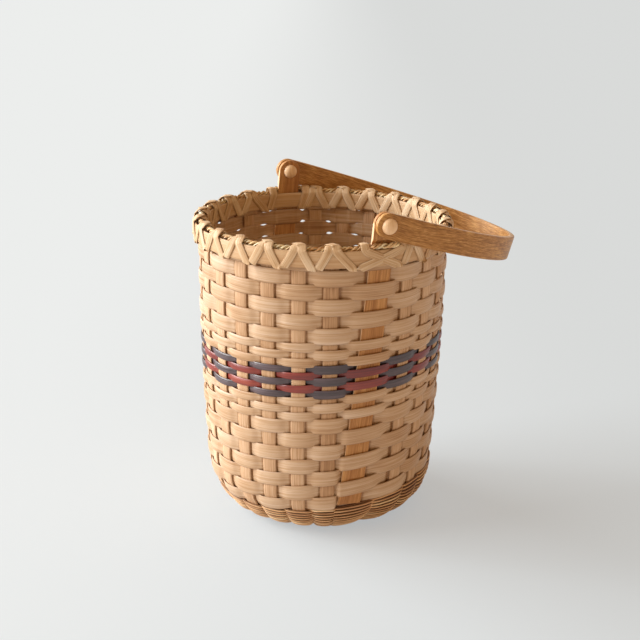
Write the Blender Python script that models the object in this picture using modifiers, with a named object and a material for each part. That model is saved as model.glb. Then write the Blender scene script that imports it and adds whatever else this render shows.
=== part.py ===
"""Swing handle basket: a round basket of flat reed, woven over and under upright stakes.

It has a twined base, a lashed rim with a rope filler, two wooden ears and a bentwood handle
that swings on wooden pegs. Metres, +Z up. The origin is the middle of the flat base.
The handle's axis runs along Y, and at rest the handle droops on the +X side.
"""

import math

import bmesh
import bpy
import numpy as np
from mathutils import Vector

MM = 0.001

# Running clearances
CLEARANCE = 0.3 * MM
PEG_CLEARANCE = 0.4 * MM
EAR_CLEARANCE = 1.3 * MM
CUT_OVERRUN = 5 * MM
MERGE_DISTANCE = 0.01 * MM

# Body of the basket, at the middle of the stakes' thickness
WALL_RADIUS = 96.5 * MM
WALL_TAPER = 6.5 * MM
WALL_TAPER_POWER = 2.2
CORNER_LAP = 13 * MM
CORNER_DROP = 41 * MM
CORNER_RUN = 40 * MM
FLOOR_INNER_RADIUS = 24 * MM

# Upright stakes
SIDE_STAKE_COUNT = 11
STAKE_WIDTH = 11 * MM
STAKE_THICKNESS = 1.4 * MM
STAKE_TIP_WIDTH = 5.4 * MM
EAR_TO_STAKE = 30.8 * MM

# Weaving reeds: each row goes over one upright and under the next
REED_THICKNESS = 1.1 * MM
WIDE_REED = 9.9 * MM
NARROW_REED = 5.25 * MM
DYED_REED = 4.3 * MM
RIM_REED = 8.4 * MM
WEAVE_EASE = 0.7 * MM
ROW_TILT = 0.064

# Rim
BAND_HEIGHT = 12.8 * MM
BAND_DROP = 2.9 * MM
BAND_THICKNESS = 1.8 * MM
BAND_EDGE_ROUND = 0.7 * MM
FILLER_DIAMETER = 4.6 * MM
FILLER_BULGE_SPREAD = 4 * MM
LASHING_WIDTH = 4.4 * MM
LASHING_THICKNESS = 1.0 * MM
LASHING_SPREAD = 2.6 * MM
LASHING_HOLE_SPREAD = 2.2 * MM
EAR_LASHING_GAP = 3.6 * MM
EAR_LASHING_EASE = 0.7 * MM

# Base twining, inside and outside the stakes
TWINING_DIAMETER = 2.2 * MM
BASE_GAP = 0.5 * MM

# Ears
EAR_WIDTH = 18.5 * MM
EAR_LEG_THICKNESS = 1.8 * MM
EAR_HEAD_THICKNESS = 3.4 * MM
EAR_LEAN = 0.0862
EAR_LEAN_AT_RIM = 7.2 * MM
PIVOT_HEIGHT = 15 * MM
EAR_SWELL = 2.5 * MM
EAR_STEP = 1.55 * MM

# Handle
HANDLE_REACH = 156.5 * MM
HANDLE_THICKNESS = 4.5 * MM
HANDLE_WIDTH = 19.05 * MM
HANDLE_EDGE_ROUND = 0.9 * MM
HANDLE_DROOP = math.radians(17.5)

# Pegs
PEG_RADIUS = 3 * MM
PEG_HEAD_RADIUS = 6 * MM
PEG_HEAD_HEIGHT = 4.2 * MM
PEG_STUB = 2 * MM
CAP_RADIUS = 5.7 * MM
CAP_HEIGHT = 4.6 * MM

# How finely round forms are divided
PROFILE_POINTS = 400
BAND_SIDES = 40
FILLER_POINTS = 56
BULGE_POINTS = 4
PEG_SIDES = 16
HANDLE_SEGMENTS = 32
END_SEGMENTS = 5
WALL_SEGMENTS = 4
EAR_LEG_SEGMENTS = 6
CORNER_SEGMENTS = 7
DOME_SEGMENTS = 3
BLUNT_TURN = math.radians(83)
SHARP_ANGLE = math.radians(60)
LOOP_BEND_COUNT = 2
EAR_LOOP_BEND_COUNT = 4
GAP_TEST_POINTS = 5

# Rows from the rim down, as (reed, finish)
ROWS = (
    [("wide", "natural")] * 5
    + [("narrow", "natural")] * 3
    + [("dyed", "slate"), ("dyed", "brick")] * 2
    + [("dyed", "slate")]
    + [("narrow", "natural")] * 3
    + [("wide", "natural")] * 7
)
REED_WIDTHS = {"wide": WIDE_REED, "narrow": NARROW_REED, "dyed": DYED_REED}

# What follows from the sizes above
UPRIGHTS = 2 * (SIDE_STAKE_COUNT + 1)
EAR_TO_STAKE_ANGLE = EAR_TO_STAKE / WALL_RADIUS
STAKE_OFFSET = STAKE_THICKNESS / 2 + CLEARANCE + REED_THICKNESS / 2
EAR_OFFSET = EAR_LEG_THICKNESS / 2 + CLEARANCE + REED_THICKNESS / 2
BAND_BOTTOM = BAND_DROP + BAND_HEIGHT
LASHING_STEP = LASHING_THICKNESS + CLEARANCE
ROWS_TOP = BAND_BOTTOM + 2 * LASHING_STEP + CLEARANCE
STAKE_TOP = FILLER_DIAMETER + CLEARANCE
FILLER_LIFT = FILLER_DIAMETER + CLEARANCE - BAND_DROP
EAR_SPAN = EAR_WIDTH / 2 + LASHING_WIDTH / 2 + EAR_LASHING_GAP
BASE_OFFSET = STAKE_THICKNESS / 2 + CLEARANCE + TWINING_DIAMETER / 2
FLOOR_HEIGHT = BASE_OFFSET + TWINING_DIAMETER / 2


def row_tops():
    """Distance down the wall to the top edge of each row, where the rows don't tilt."""
    tops = [ROWS_TOP]
    for reed, _ in ROWS:
        tops.append(tops[-1] + (REED_WIDTHS[reed] + CLEARANCE) / (1 - ROW_TILT))
    return tops


ROW_TOPS = row_tops()
ROWS_BOTTOM = ROW_TOPS[-1]
WALL_DEPTH = ROWS_BOTTOM - CORNER_LAP
RIM_HEIGHT = WALL_DEPTH + CORNER_DROP + FLOOR_HEIGHT


def wall_profile():
    """Points (radius, height) down the middle of the stakes: a tapering wall, a quarter
    ellipse and a flat floor, with the distance travelled at each point."""
    depth = np.linspace(0, WALL_DEPTH, PROFILE_POINTS)
    wall_radius = WALL_RADIUS - WALL_TAPER * (depth / WALL_DEPTH) ** WALL_TAPER_POWER
    floor_radius = wall_radius[-1] - CORNER_RUN
    turn = np.linspace(0, math.pi / 2, PROFILE_POINTS)[1:]
    inward = np.linspace(floor_radius, 0, PROFILE_POINTS)[1:]
    radius = np.concatenate([wall_radius, floor_radius + CORNER_RUN * np.cos(turn), inward])
    down = np.concatenate([depth, WALL_DEPTH + CORNER_DROP * np.sin(turn),
                           np.full(len(inward), WALL_DEPTH + CORNER_DROP)])
    travel = np.concatenate([[0], np.cumsum(np.hypot(np.diff(radius), np.diff(down)))])
    return travel, radius, RIM_HEIGHT - down


TRAVEL, RADII, HEIGHTS = wall_profile()
WALL_END = TRAVEL[PROFILE_POINTS - 1]
CORNER_END = TRAVEL[2 * PROFILE_POINTS - 2]
FOOT_END = CORNER_END + RADII[2 * PROFILE_POINTS - 2] - FLOOR_INNER_RADIUS


def wall_point(travel):
    """Radius and height at a distance down the wall, and the outward normal there."""
    step = CLEARANCE
    radius = np.interp(travel, TRAVEL, RADII)
    height = np.interp(travel, TRAVEL, HEIGHTS)
    ahead = min(travel + step, TRAVEL[-1])
    behind = max(travel - step, 0)
    along = np.array([np.interp(ahead, TRAVEL, RADII) - np.interp(behind, TRAVEL, RADII),
                      np.interp(ahead, TRAVEL, HEIGHTS) - np.interp(behind, TRAVEL, HEIGHTS)])
    along /= np.linalg.norm(along)
    return radius, height, -along[1], along[0]


def is_ear(index):
    """The first upright is the front ear's leg, and the one half way round the back ear's."""
    return index % (UPRIGHTS // 2) == 0


def upright_angle(index):
    """Middle angle of an upright, counted anticlockwise from the front ear at -Y."""
    half, place = divmod(index % UPRIGHTS, UPRIGHTS // 2)
    start = -math.pi / 2 + half * math.pi
    if place == 0:
        return start
    between = (math.pi - 2 * EAR_TO_STAKE_ANGLE) / (SIDE_STAKE_COUNT - 1)
    return start + EAR_TO_STAKE_ANGLE + (place - 1) * between


def ear_lean(travel):
    """How far an ear's leg stands towards +X of the handle's middle plane."""
    return EAR_LEAN_AT_RIM - EAR_LEAN * travel


def upright_frame(index, travel):
    """Centre, side direction and outward normal of an upright at a distance down the wall."""
    radius, height, normal_out, normal_up = wall_point(travel)
    angle = upright_angle(index)
    if is_ear(index):
        side = 1 if math.sin(angle) < 0 else -1
        angle += side * math.asin(ear_lean(travel) / radius)
    out = np.array([math.cos(angle), math.sin(angle), 0])
    side = np.array([-math.sin(angle), math.cos(angle), 0])
    normal = out * normal_out + np.array([0, 0, normal_up])
    return out * radius + np.array([0, 0, height]), side, normal


def upright_size(index):
    """Half the width of an upright, and how far a reed's middle passes from its own."""
    if is_ear(index):
        return EAR_WIDTH / 2, EAR_OFFSET
    return STAKE_WIDTH / 2, STAKE_OFFSET


def tilted(travel, angle):
    """Rows tilt: they rise on the +X side and sink on the -X side, more the lower they are."""
    return ROWS_TOP + (travel - ROWS_TOP) * (1 - ROW_TILT * math.cos(angle))


def collection(name):
    """A new collection in the scene."""
    made = bpy.data.collections.new(name)
    bpy.context.scene.collection.children.link(made)
    return made


def material(name, colour, roughness):
    """A plain finish: colour in linear light, no metal."""
    made = bpy.data.materials.new(name)
    made.use_nodes = True
    shader = made.node_tree.nodes["Principled BSDF"]
    shader.inputs["Base Color"].default_value = (*colour, 1)
    shader.inputs["Roughness"].default_value = roughness
    shader.inputs["Metallic"].default_value = 0
    return made


def add_object(name, mesh, finish, group):
    """Links a mesh as a named object with its finish."""
    made = bpy.data.objects.new(name, mesh)
    made.data.materials.append(finish)
    group.objects.link(made)
    return made


def sheet(name, points, thickness, finish, group):
    """A grid whose corners are moved to points[row][column], thickened to both sides.
    Where the first and last columns meet, they are merged into a ring."""
    rows, columns = points.shape[:2]
    grid = bmesh.new()
    bmesh.ops.create_grid(grid, x_segments=columns - 1, y_segments=rows - 1, size=1)
    for vertex in grid.verts:
        column = round((vertex.co.x + 1) / 2 * (columns - 1))
        row = round((vertex.co.y + 1) / 2 * (rows - 1))
        vertex.co = Vector(points[row, column])
    bmesh.ops.remove_doubles(grid, verts=grid.verts, dist=MERGE_DISTANCE)
    mesh = bpy.data.meshes.new(name)
    grid.to_mesh(mesh)
    grid.free()
    made = add_object(name, mesh, finish, group)
    wall = made.modifiers.new("Thickness", "SOLIDIFY")
    wall.thickness = thickness
    wall.offset = 0
    wall.use_even_offset = True
    return made


def eased(made, name, width):
    """Takes the sharp edges off a strip and shades its long faces smoothly."""
    edge = made.modifiers.new(name, "BEVEL")
    edge.width = width
    edge.segments = 1
    edge.limit_method = "ANGLE"
    edge.angle_limit = SHARP_ANGLE
    made.modifiers.new("Flat faces", "WEIGHTED_NORMAL")
    made.data.shade_smooth()


def reed_edge(travel, opposite_travel, over_first):
    """One edge of a woven row: two points at each upright, in front of it or behind it."""
    points = []
    for index in range(UPRIGHTS):
        outward = 1 if (index % 2 == 0) == over_first else -1
        half, offset = upright_size(index)
        angle = upright_angle(index)
        place = tilted(travel, angle)
        other = tilted(opposite_travel, angle)
        centre, side, normal = upright_frame(index, place)
        far_centre = upright_frame(index, other)[0]
        middle = upright_frame(index, (place + other) / 2)[0]
        bow = max(0, np.dot(middle - (centre + far_centre) / 2, normal))
        out = outward * offset + (bow if outward > 0 else 0)
        for end in (-1, 1):
            slope = tilted(travel, angle + end * half / WALL_RADIUS) - place
            shifted = upright_frame(index, place + slope)[0]
            points.append(shifted + end * (half + WEAVE_EASE) * side + out * normal)
    points.append(points[0])
    return points


def weave_row(name, top, width, over_first, finish, group):
    """A flat reed woven round the basket and joined to itself."""
    edges = [reed_edge(top + width, top, over_first), reed_edge(top, top + width, over_first)]
    return sheet(name, np.array(edges), REED_THICKNESS, finish, group)


def weave_rows(finishes, group):
    """The row hidden behind the rim, and all the rows below it."""
    rim_top = BAND_BOTTOM - CLEARANCE - RIM_REED
    weave_row("weaver_00_rim", rim_top, RIM_REED, True, finishes["natural"], group)
    for number, (reed, finish) in enumerate(ROWS):
        name = f"weaver_{number + 1:02d}_{finish}"
        weave_row(name, ROW_TOPS[number], REED_WIDTHS[reed], number % 2 == 1, finishes[finish], group)


def corner_stations():
    """Distances down the wall to the corner's bends, spaced by its angle."""
    turns = np.linspace(0, math.pi / 2, CORNER_SEGMENTS + 1)[1:]
    fine = np.linspace(0, math.pi / 2, PROFILE_POINTS)
    return [float(np.interp(turn, fine, TRAVEL[PROFILE_POINTS - 1:2 * PROFILE_POINTS - 1]))
            for turn in turns]


def stake(index, name, finish, group):
    """A flat stake: down the wall, round the corner and in along the floor, where it narrows."""
    stations = list(np.linspace(STAKE_TOP, WALL_END, WALL_SEGMENTS + 1))
    stations += corner_stations() + [FOOT_END]
    rows = []
    for travel in stations:
        centre, side, _ = upright_frame(index, travel)
        full = STAKE_WIDTH / 2
        narrowing = max(0, travel - CORNER_END) / (FOOT_END - CORNER_END)
        half = full + narrowing * (STAKE_TIP_WIDTH / 2 - full)
        rows.append([centre - half * side, centre + half * side])
    return sheet(name, np.array(rows[::-1]), STAKE_THICKNESS, finish, group)


def stakes(finish, group):
    """All the stakes, counted anticlockwise from the front ear."""
    number = 0
    for index in range(UPRIGHTS):
        if not is_ear(index):
            number += 1
            stake(index, f"stake_{number:02d}", finish, group)


def base_point(travel, angle, half_gap, outward):
    """A corner in the middle of the twining's thickness, midway between two uprights. The
    flat sides between corners lie against the stakes."""
    radius, height, normal_out, normal_up = wall_point(travel)
    flat = (radius + outward * BASE_OFFSET * normal_out) / math.cos(half_gap)
    rise = outward * BASE_OFFSET * normal_up
    return [flat * math.cos(angle), flat * math.sin(angle), height + rise]


def base_shell(name, outward, finish, group):
    """The twined base on one side of the stakes, from the last row in to the middle."""
    stations = [0] + corner_stations()
    columns = []
    for index in range(UPRIGHTS + 1):
        start = upright_angle(index)
        turn = (upright_angle(index + 1) - start) % (2 * math.pi)
        angle = start + turn / 2
        first = tilted(ROWS_BOTTOM, angle) + BASE_GAP
        column = []
        for step, station in enumerate(stations):
            travel = max(station, first + step * CLEARANCE)
            column.append(base_point(travel, angle, turn / 2, outward))
        column.append([0, 0, FLOOR_HEIGHT - outward * BASE_OFFSET])
        columns.append(column)
    points = np.array(columns).transpose(1, 0, 2)[::-1]
    return sheet(name, points, TWINING_DIAMETER, finish, group)


def outermost_weave():
    """Largest radius that the rim row reaches in front of an upright."""
    reach = 0
    for index in range(UPRIGHTS):
        half, offset = upright_size(index)
        centre, side, normal = upright_frame(index, BAND_BOTTOM)
        for end in (-1, 1):
            corner = centre + end * (half + WEAVE_EASE) * side
            corner = corner + (offset + REED_THICKNESS / 2) * normal
            reach = max(reach, math.hypot(corner[0], corner[1]))
    return reach


def innermost_weave():
    """Smallest radius that the rim row keeps behind an upright."""
    deepest = max(upright_size(index)[1] for index in range(UPRIGHTS))
    return WALL_RADIUS - deepest - REED_THICKNESS / 2


BAND_FLAT = math.cos(math.pi / BAND_SIDES)
OUTER_BAND_INSIDE = (outermost_weave() + CLEARANCE) / BAND_FLAT
OUTER_BAND_OUTSIDE = OUTER_BAND_INSIDE + BAND_THICKNESS
INNER_BAND_OUTSIDE = innermost_weave() - CLEARANCE
INNER_BAND_INSIDE = INNER_BAND_OUTSIDE - BAND_THICKNESS


def rim_band(name, radius, finish, group):
    """A flat hoop on one side of the rim."""
    angles = np.linspace(0, 2 * math.pi, BAND_SIDES + 1)
    rows = []
    for depth in (BAND_BOTTOM, BAND_DROP):
        rows.append(np.stack([radius * np.cos(angles), radius * np.sin(angles),
                              np.full(len(angles), RIM_HEIGHT - depth)], axis=1))
    made = sheet(name, np.array(rows), BAND_THICKNESS, finish, group)
    eased(made, "Worn edges", BAND_EDGE_ROUND)


def ear_angle(index):
    """Where an ear's leg stands at the top of the rim."""
    centre = upright_frame(index, 0)[0]
    return math.atan2(centre[1], centre[0])


def turn_between(start, end):
    """The shortest turn from one angle to another, between half a turn back and ahead."""
    return (end - start + math.pi) % (2 * math.pi) - math.pi


def ear_closeness(angle):
    """One beside an ear, fading to nothing over the length of the filler's bulge."""
    ears = (0, UPRIGHTS // 2)
    nearest = min(abs(turn_between(ear_angle(index), angle)) for index in ears)
    beyond = nearest * WALL_RADIUS - EAR_WIDTH / 2 - CLEARANCE
    left = min(1, max(0, 1 - beyond / FILLER_BULGE_SPREAD))
    return left * left * (3 - 2 * left)


def filler_centre(angle):
    """Radius and depth of the filler's middle. It lies between the bands, and beside an ear it
    rises over the outer band and runs straight past the ear's outer face."""
    closeness = ear_closeness(angle)
    if closeness == 0:
        return WALL_RADIUS, FILLER_DIAMETER / 2
    past_ear = WALL_RADIUS + EAR_LEG_THICKNESS / 2 + CLEARANCE + FILLER_DIAMETER / 2
    radius = WALL_RADIUS + closeness * (past_ear / abs(math.sin(angle)) - WALL_RADIUS)
    return radius, FILLER_DIAMETER / 2 - min(1, 2 * closeness) * FILLER_LIFT


def tube(name, points, diameter, closed, finish, group):
    """A round rope or reed along points."""
    curve = bpy.data.curves.new(name, "CURVE")
    curve.dimensions = "3D"
    curve.bevel_depth = diameter / 2
    curve.bevel_resolution = 1
    curve.use_fill_caps = not closed
    line = curve.splines.new("POLY")
    line.points.add(len(points) - 1)
    for target, point in zip(line.points, points):
        target.co = (*point, 1)
    line.use_cyclic_u = closed
    return add_object(name, curve, finish, group)


def filler_angles():
    """Even steps round the rim, and closer ones where the filler bends round an ear."""
    full = (EAR_WIDTH / 2 + CLEARANCE) / WALL_RADIUS
    fade = FILLER_BULGE_SPREAD / WALL_RADIUS
    beside = [full + share * fade for share in np.linspace(0, 1, BULGE_POINTS)]
    ears = [ear_angle(index) for index in (0, UPRIGHTS // 2)]
    angles = [middle + step for middle in ears for step in [0, *beside, *np.negative(beside)]]
    for angle in np.linspace(0, 2 * math.pi, FILLER_POINTS, endpoint=False):
        if min(abs(turn_between(angle, middle)) for middle in ears) > full + 2 * fade:
            angles.append(angle)
    return sorted(angle % (2 * math.pi) for angle in angles)


def rim_filler(finish, group):
    """The rope that fills the top of the rim between its two bands."""
    points = []
    for angle in filler_angles():
        radius, depth = filler_centre(angle)
        points.append((radius * math.cos(angle), radius * math.sin(angle), RIM_HEIGHT - depth))
    return tube("rim_filler", points, FILLER_DIAMETER, True, finish, group)


def hole_angle(index):
    """Middle of the gap below the rim between an upright and the next one."""
    edges = []
    for upright, end in ((index, 1), (index + 1, -1)):
        centre, side, _ = upright_frame(upright, BAND_BOTTOM)
        edge = centre + end * upright_size(upright)[0] * side
        edges.append(math.atan2(edge[1], edge[0]))
    turn = (edges[1] - edges[0]) % (2 * math.pi)
    return edges[0] + turn / 2


def lashing_loop(index, direction, layer):
    """One loop of a lashing, from the hole before an upright to the hole after it: under the
    rim, up outside it, over the top and down inside. Each bend is (angle, radius, depth,
    and how far out and how far up the strip faces)."""
    lift = CLEARANCE + LASHING_THICKNESS / 2
    over = lift + layer * LASHING_STEP
    into_hole = direction * LASHING_HOLE_SPREAD / WALL_RADIUS
    top = ear_angle(index) if is_ear(index) else upright_angle(index)
    start = top + turn_between(top, hole_angle(index - 1 if direction > 0 else index))
    end = top + turn_between(top, hole_angle(index if direction > 0 else index - 1))
    ear = is_ear(index)
    if ear:
        first = last = top + direction * EAR_SPAN / WALL_RADIUS
        crown_lift, shoulder = lift, BAND_DROP
    else:
        first = top - direction * LASHING_SPREAD / WALL_RADIUS
        last = 2 * top - first
        crown_lift, shoulder = over, BAND_DROP - 2 * CLEARANCE
    towards_ear = (LASHING_WIDTH / 2 + EAR_LASHING_EASE) / WALL_RADIUS
    radius, depth = filler_centre(first - direction * towards_ear)
    crown = depth - FILLER_DIAMETER / 2 - crown_lift
    inside = INNER_BAND_INSIDE * BAND_FLAT - CLEARANCE
    outside = OUTER_BAND_OUTSIDE + CLEARANCE
    bottom = BAND_BOTTOM + over
    corner = CLEARANCE + (over - lift) / 2
    loop = [(start - into_hole, inside - corner, bottom, 0, -1),
            (start + into_hole, outside + corner, bottom, 0, -1)]
    for share in np.linspace(0, 1, EAR_LOOP_BEND_COUNT if ear else LOOP_BEND_COUNT, endpoint=False):
        angle = start + into_hole + share * (first - start - into_hole)
        loop.append((angle, outside + over, BAND_BOTTOM - share * BAND_HEIGHT, 1, 0))
    return loop + [
        (first, outside + lift, shoulder, 1, 0),
        (first, radius + FILLER_DIAMETER / 2, crown, 0, 1),
        (last, radius - FILLER_DIAMETER / 2, crown, 0, 1),
        (last, inside - over, BAND_DROP, -1, 0),
        (end - into_hole, inside - over, BAND_BOTTOM, -1, 0),
    ]


def lashing_path(direction, layer):
    """The middle of a lashing strip, and which way its width runs, at each bend. It starts
    outside at one hole and ends inside at the same hole."""
    bends = []
    for count in range(UPRIGHTS):
        bends += lashing_loop(1 + direction * count, direction, layer)
    angle, radius, depth, out, up = np.array(bends[1:]).T
    places = np.stack([radius * np.cos(angle), radius * np.sin(angle), RIM_HEIGHT - depth], axis=1)
    facing = np.stack([out * np.cos(angle), out * np.sin(angle), up], axis=1)
    width_way = np.cross(facing, np.gradient(places, axis=0))
    return places, width_way / np.linalg.norm(width_way, axis=1, keepdims=True)


def least_gap(places, width_way):
    """Least distance between points of a strip that lie more than half a loop apart along it,
    less its thickness."""
    loop = len(lashing_loop(1, 1, 0))
    across = np.linspace(-LASHING_WIDTH / 2, LASHING_WIDTH / 2, GAP_TEST_POINTS)
    order = np.linspace(0, len(places) - 1, GAP_TEST_POINTS * len(places))
    steps = np.arange(len(places))
    middle = np.stack([np.interp(order, steps, places[:, axis]) for axis in range(3)], axis=1)
    side = np.stack([np.interp(order, steps, width_way[:, axis]) for axis in range(3)], axis=1)
    strip = middle[:, None] + across[None, :, None] * side[:, None]
    nearest = RIM_HEIGHT
    for place, spot in zip(order, strip):
        far = strip[np.abs(order - place) > loop / 2].reshape(-1, 3)
        gaps = np.linalg.norm(far[:, None] - spot[None], axis=2)
        nearest = min(nearest, gaps.min())
    return nearest - LASHING_THICKNESS


def lashing(name, direction, layer, finish, group):
    """A strip wound round the rim through every gap between the uprights."""
    places, width_way = lashing_path(direction, layer)
    half = LASHING_WIDTH / 2
    points = np.stack([places - half * width_way, places + half * width_way])
    print(f"{name}: {UPRIGHTS} loops, least gap to itself {least_gap(places, width_way) / MM:.2f} mm")
    return sheet(name, points, LASHING_THICKNESS, finish, group)


PIVOT_X = EAR_LEAN_AT_RIM + EAR_LEAN * PIVOT_HEIGHT
PIVOT_Z = RIM_HEIGHT + PIVOT_HEIGHT
EAR_OUTSIDE = WALL_RADIUS + EAR_LEG_THICKNESS / 2 + EAR_STEP
HANDLE_INSIDE = EAR_OUTSIDE + EAR_CLEARANCE
HANDLE_HALF_WIDTH = HANDLE_INSIDE + HANDLE_THICKNESS / 2


def half_round(radius):
    """Steps out along a round end, from its full width, and the half width left at each. The
    tip stays a little blunt, so that it has two corners."""
    turns = np.linspace(0, math.pi / 2, END_SEGMENTS + 1)[1:-1]
    return [(radius * math.sin(turn), radius * math.cos(turn)) for turn in [*turns, BLUNT_TURN]]


def cut(made, cutter):
    """Takes the cutter's shape out of a piece."""
    hole = made.modifiers.new("Peg hole", "BOOLEAN")
    hole.operation = "DIFFERENCE"
    hole.solver = "EXACT"
    hole.object = cutter


def peg_hole_cutter(group):
    """A long round bar along the handle's axis, for the holes in both ears and the handle."""
    bpy.ops.mesh.primitive_cylinder_add(
        vertices=PEG_SIDES,
        radius=(PEG_RADIUS + PEG_CLEARANCE) / math.cos(math.pi / PEG_SIDES),
        depth=2 * (HANDLE_HALF_WIDTH + HANDLE_THICKNESS / 2 + CUT_OVERRUN),
        location=(PIVOT_X, 0, PIVOT_Z),
        rotation=(math.pi / 2, 0, 0),
    )
    bar = bpy.context.object
    bar.name = "peg_hole_cutter"
    bar.hide_render = True
    bar.display_type = "WIRE"
    for home in list(bar.users_collection):
        home.objects.unlink(bar)
    group.objects.link(bar)
    return bar


def ear_rows(index):
    """Edges of an ear from its foot in the weave to its round top, left to right as seen from
    outside. Above the rim its head faces the handle."""
    foot = tilted(ROWS_BOTTOM, upright_angle(index)) - CLEARANCE
    half = EAR_WIDTH / 2
    stations = list(np.linspace(foot, WALL_END, WALL_SEGMENTS + 1))
    stations += list(np.linspace(WALL_END, BAND_BOTTOM - RIM_REED, EAR_LEG_SEGMENTS + 1)[1:])
    rows = []
    for travel in stations:
        centre, side, _ = upright_frame(index, travel)
        rows.append([centre - half * side, centre + half * side])
    facing = 1 if index else -1
    head = EAR_OUTSIDE - EAR_HEAD_THICKNESS / 2
    neck = FILLER_LIFT + CLEARANCE
    stations = [(0, WALL_RADIUS, half), (neck, WALL_RADIUS, half), (neck + EAR_SWELL, head, half),
                (PIVOT_HEIGHT, head, half)]
    stations += [(PIVOT_HEIGHT + rise, head, left) for rise, left in half_round(half)]
    for height, out, left in stations:
        middle = EAR_LEAN_AT_RIM + EAR_LEAN * min(height, PIVOT_HEIGHT)
        row = [(middle + end * left, facing * out, RIM_HEIGHT + height) for end in (facing, -facing)]
        rows.append(row)
    return np.array(rows)


def ear(name, index, cutter, finish, group):
    """A wooden ear: a thin leg woven in as an upright, and a thicker round head above the rim
    with the peg's hole."""
    made = sheet(name, ear_rows(index), EAR_HEAD_THICKNESS, finish, group)
    head = made.vertex_groups.new(name="head")
    swell = RIM_HEIGHT + FILLER_LIFT + CLEARANCE + EAR_SWELL / 2
    head.add([corner.index for corner in made.data.vertices if corner.co.z > swell], 1, "REPLACE")
    wall = made.modifiers["Thickness"]
    wall.vertex_group = head.name
    wall.thickness_vertex_group = EAR_LEG_THICKNESS / EAR_HEAD_THICKNESS
    cut(made, cutter)


def handle(cutter, finish, group):
    """A bentwood bow: half an ellipse in plan, of one flat strip with round ends on the pegs."""
    half = HANDLE_WIDTH / 2
    turns = np.linspace(-math.pi / 2, math.pi / 2, HANDLE_SEGMENTS + 1)
    bow = [(HANDLE_REACH * math.cos(turn), HANDLE_HALF_WIDTH * math.sin(turn), half) for turn in turns]
    front = [(-beyond, -HANDLE_HALF_WIDTH, left) for beyond, left in half_round(half)[::-1]]
    back = [(-beyond, HANDLE_HALF_WIDTH, left) for beyond, left in half_round(half)]
    along = front + bow + back
    points = np.array([[(x, y, -left) for x, y, left in along], [(x, y, left) for x, y, left in along]])
    made = sheet("handle", points, HANDLE_THICKNESS, finish, group)
    made.location = (PIVOT_X, 0, PIVOT_Z)
    made.rotation_euler = (0, HANDLE_DROOP, 0)
    cut(made, cutter)
    eased(made, "Eased edges", HANDLE_EDGE_ROUND)


def turned(name, profile, facing, y, finish, group):
    """A piece turned round the handle's axis: a profile of (radius, distance outwards)."""
    mesh = bpy.data.meshes.new(name)
    corners = [(radius, 0, along) for radius, along in profile]
    mesh.from_pydata(corners, [(i, i + 1) for i in range(len(corners) - 1)], [])
    made = add_object(name, mesh, finish, group)
    lathe = made.modifiers.new("Turned", "SCREW")
    lathe.steps = PEG_SIDES
    lathe.render_steps = PEG_SIDES
    lathe.use_merge_vertices = True
    lathe.merge_threshold = MERGE_DISTANCE
    lathe.use_smooth_shade = True
    made.location = (PIVOT_X, y, PIVOT_Z)
    made.rotation_euler = (-facing * math.pi / 2, 0, 0)
    return made


def dome(radius, height):
    """A low dome's profile, from its crown out to its edge."""
    turns = np.linspace(0, math.pi / 2, DOME_SEGMENTS + 1)
    return [(radius * math.sin(turn), height * math.cos(turn)) for turn in turns]


def peg(name, facing, finish, group):
    """A round-headed peg through the handle's end and the ear, measured from under its head."""
    through = HANDLE_THICKNESS + EAR_CLEARANCE + EAR_HEAD_THICKNESS + PEG_STUB + CLEARANCE
    profile = dome(PEG_HEAD_RADIUS, PEG_HEAD_HEIGHT)
    profile += [(PEG_RADIUS, 0), (PEG_RADIUS, -through), (0, -through)]
    seat = HANDLE_INSIDE + HANDLE_THICKNESS + CLEARANCE
    return turned(name, profile, facing, facing * seat, finish, group)


def peg_cap(name, facing, finish, group):
    """The button on a peg's inner end, with a socket for the peg's stub."""
    socket = PEG_RADIUS + PEG_CLEARANCE
    depth = PEG_STUB + CLEARANCE
    profile = dome(CAP_RADIUS, CAP_HEIGHT)
    profile += [(socket, 0), (socket, depth), (0, depth)]
    seat = EAR_OUTSIDE - EAR_HEAD_THICKNESS - CLEARANCE
    return turned(name, profile, -facing, facing * seat, finish, group)


def clear_scene():
    """Removes every object, so that the model starts from nothing."""
    for old in list(bpy.data.objects):
        bpy.data.objects.remove(old)


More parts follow.
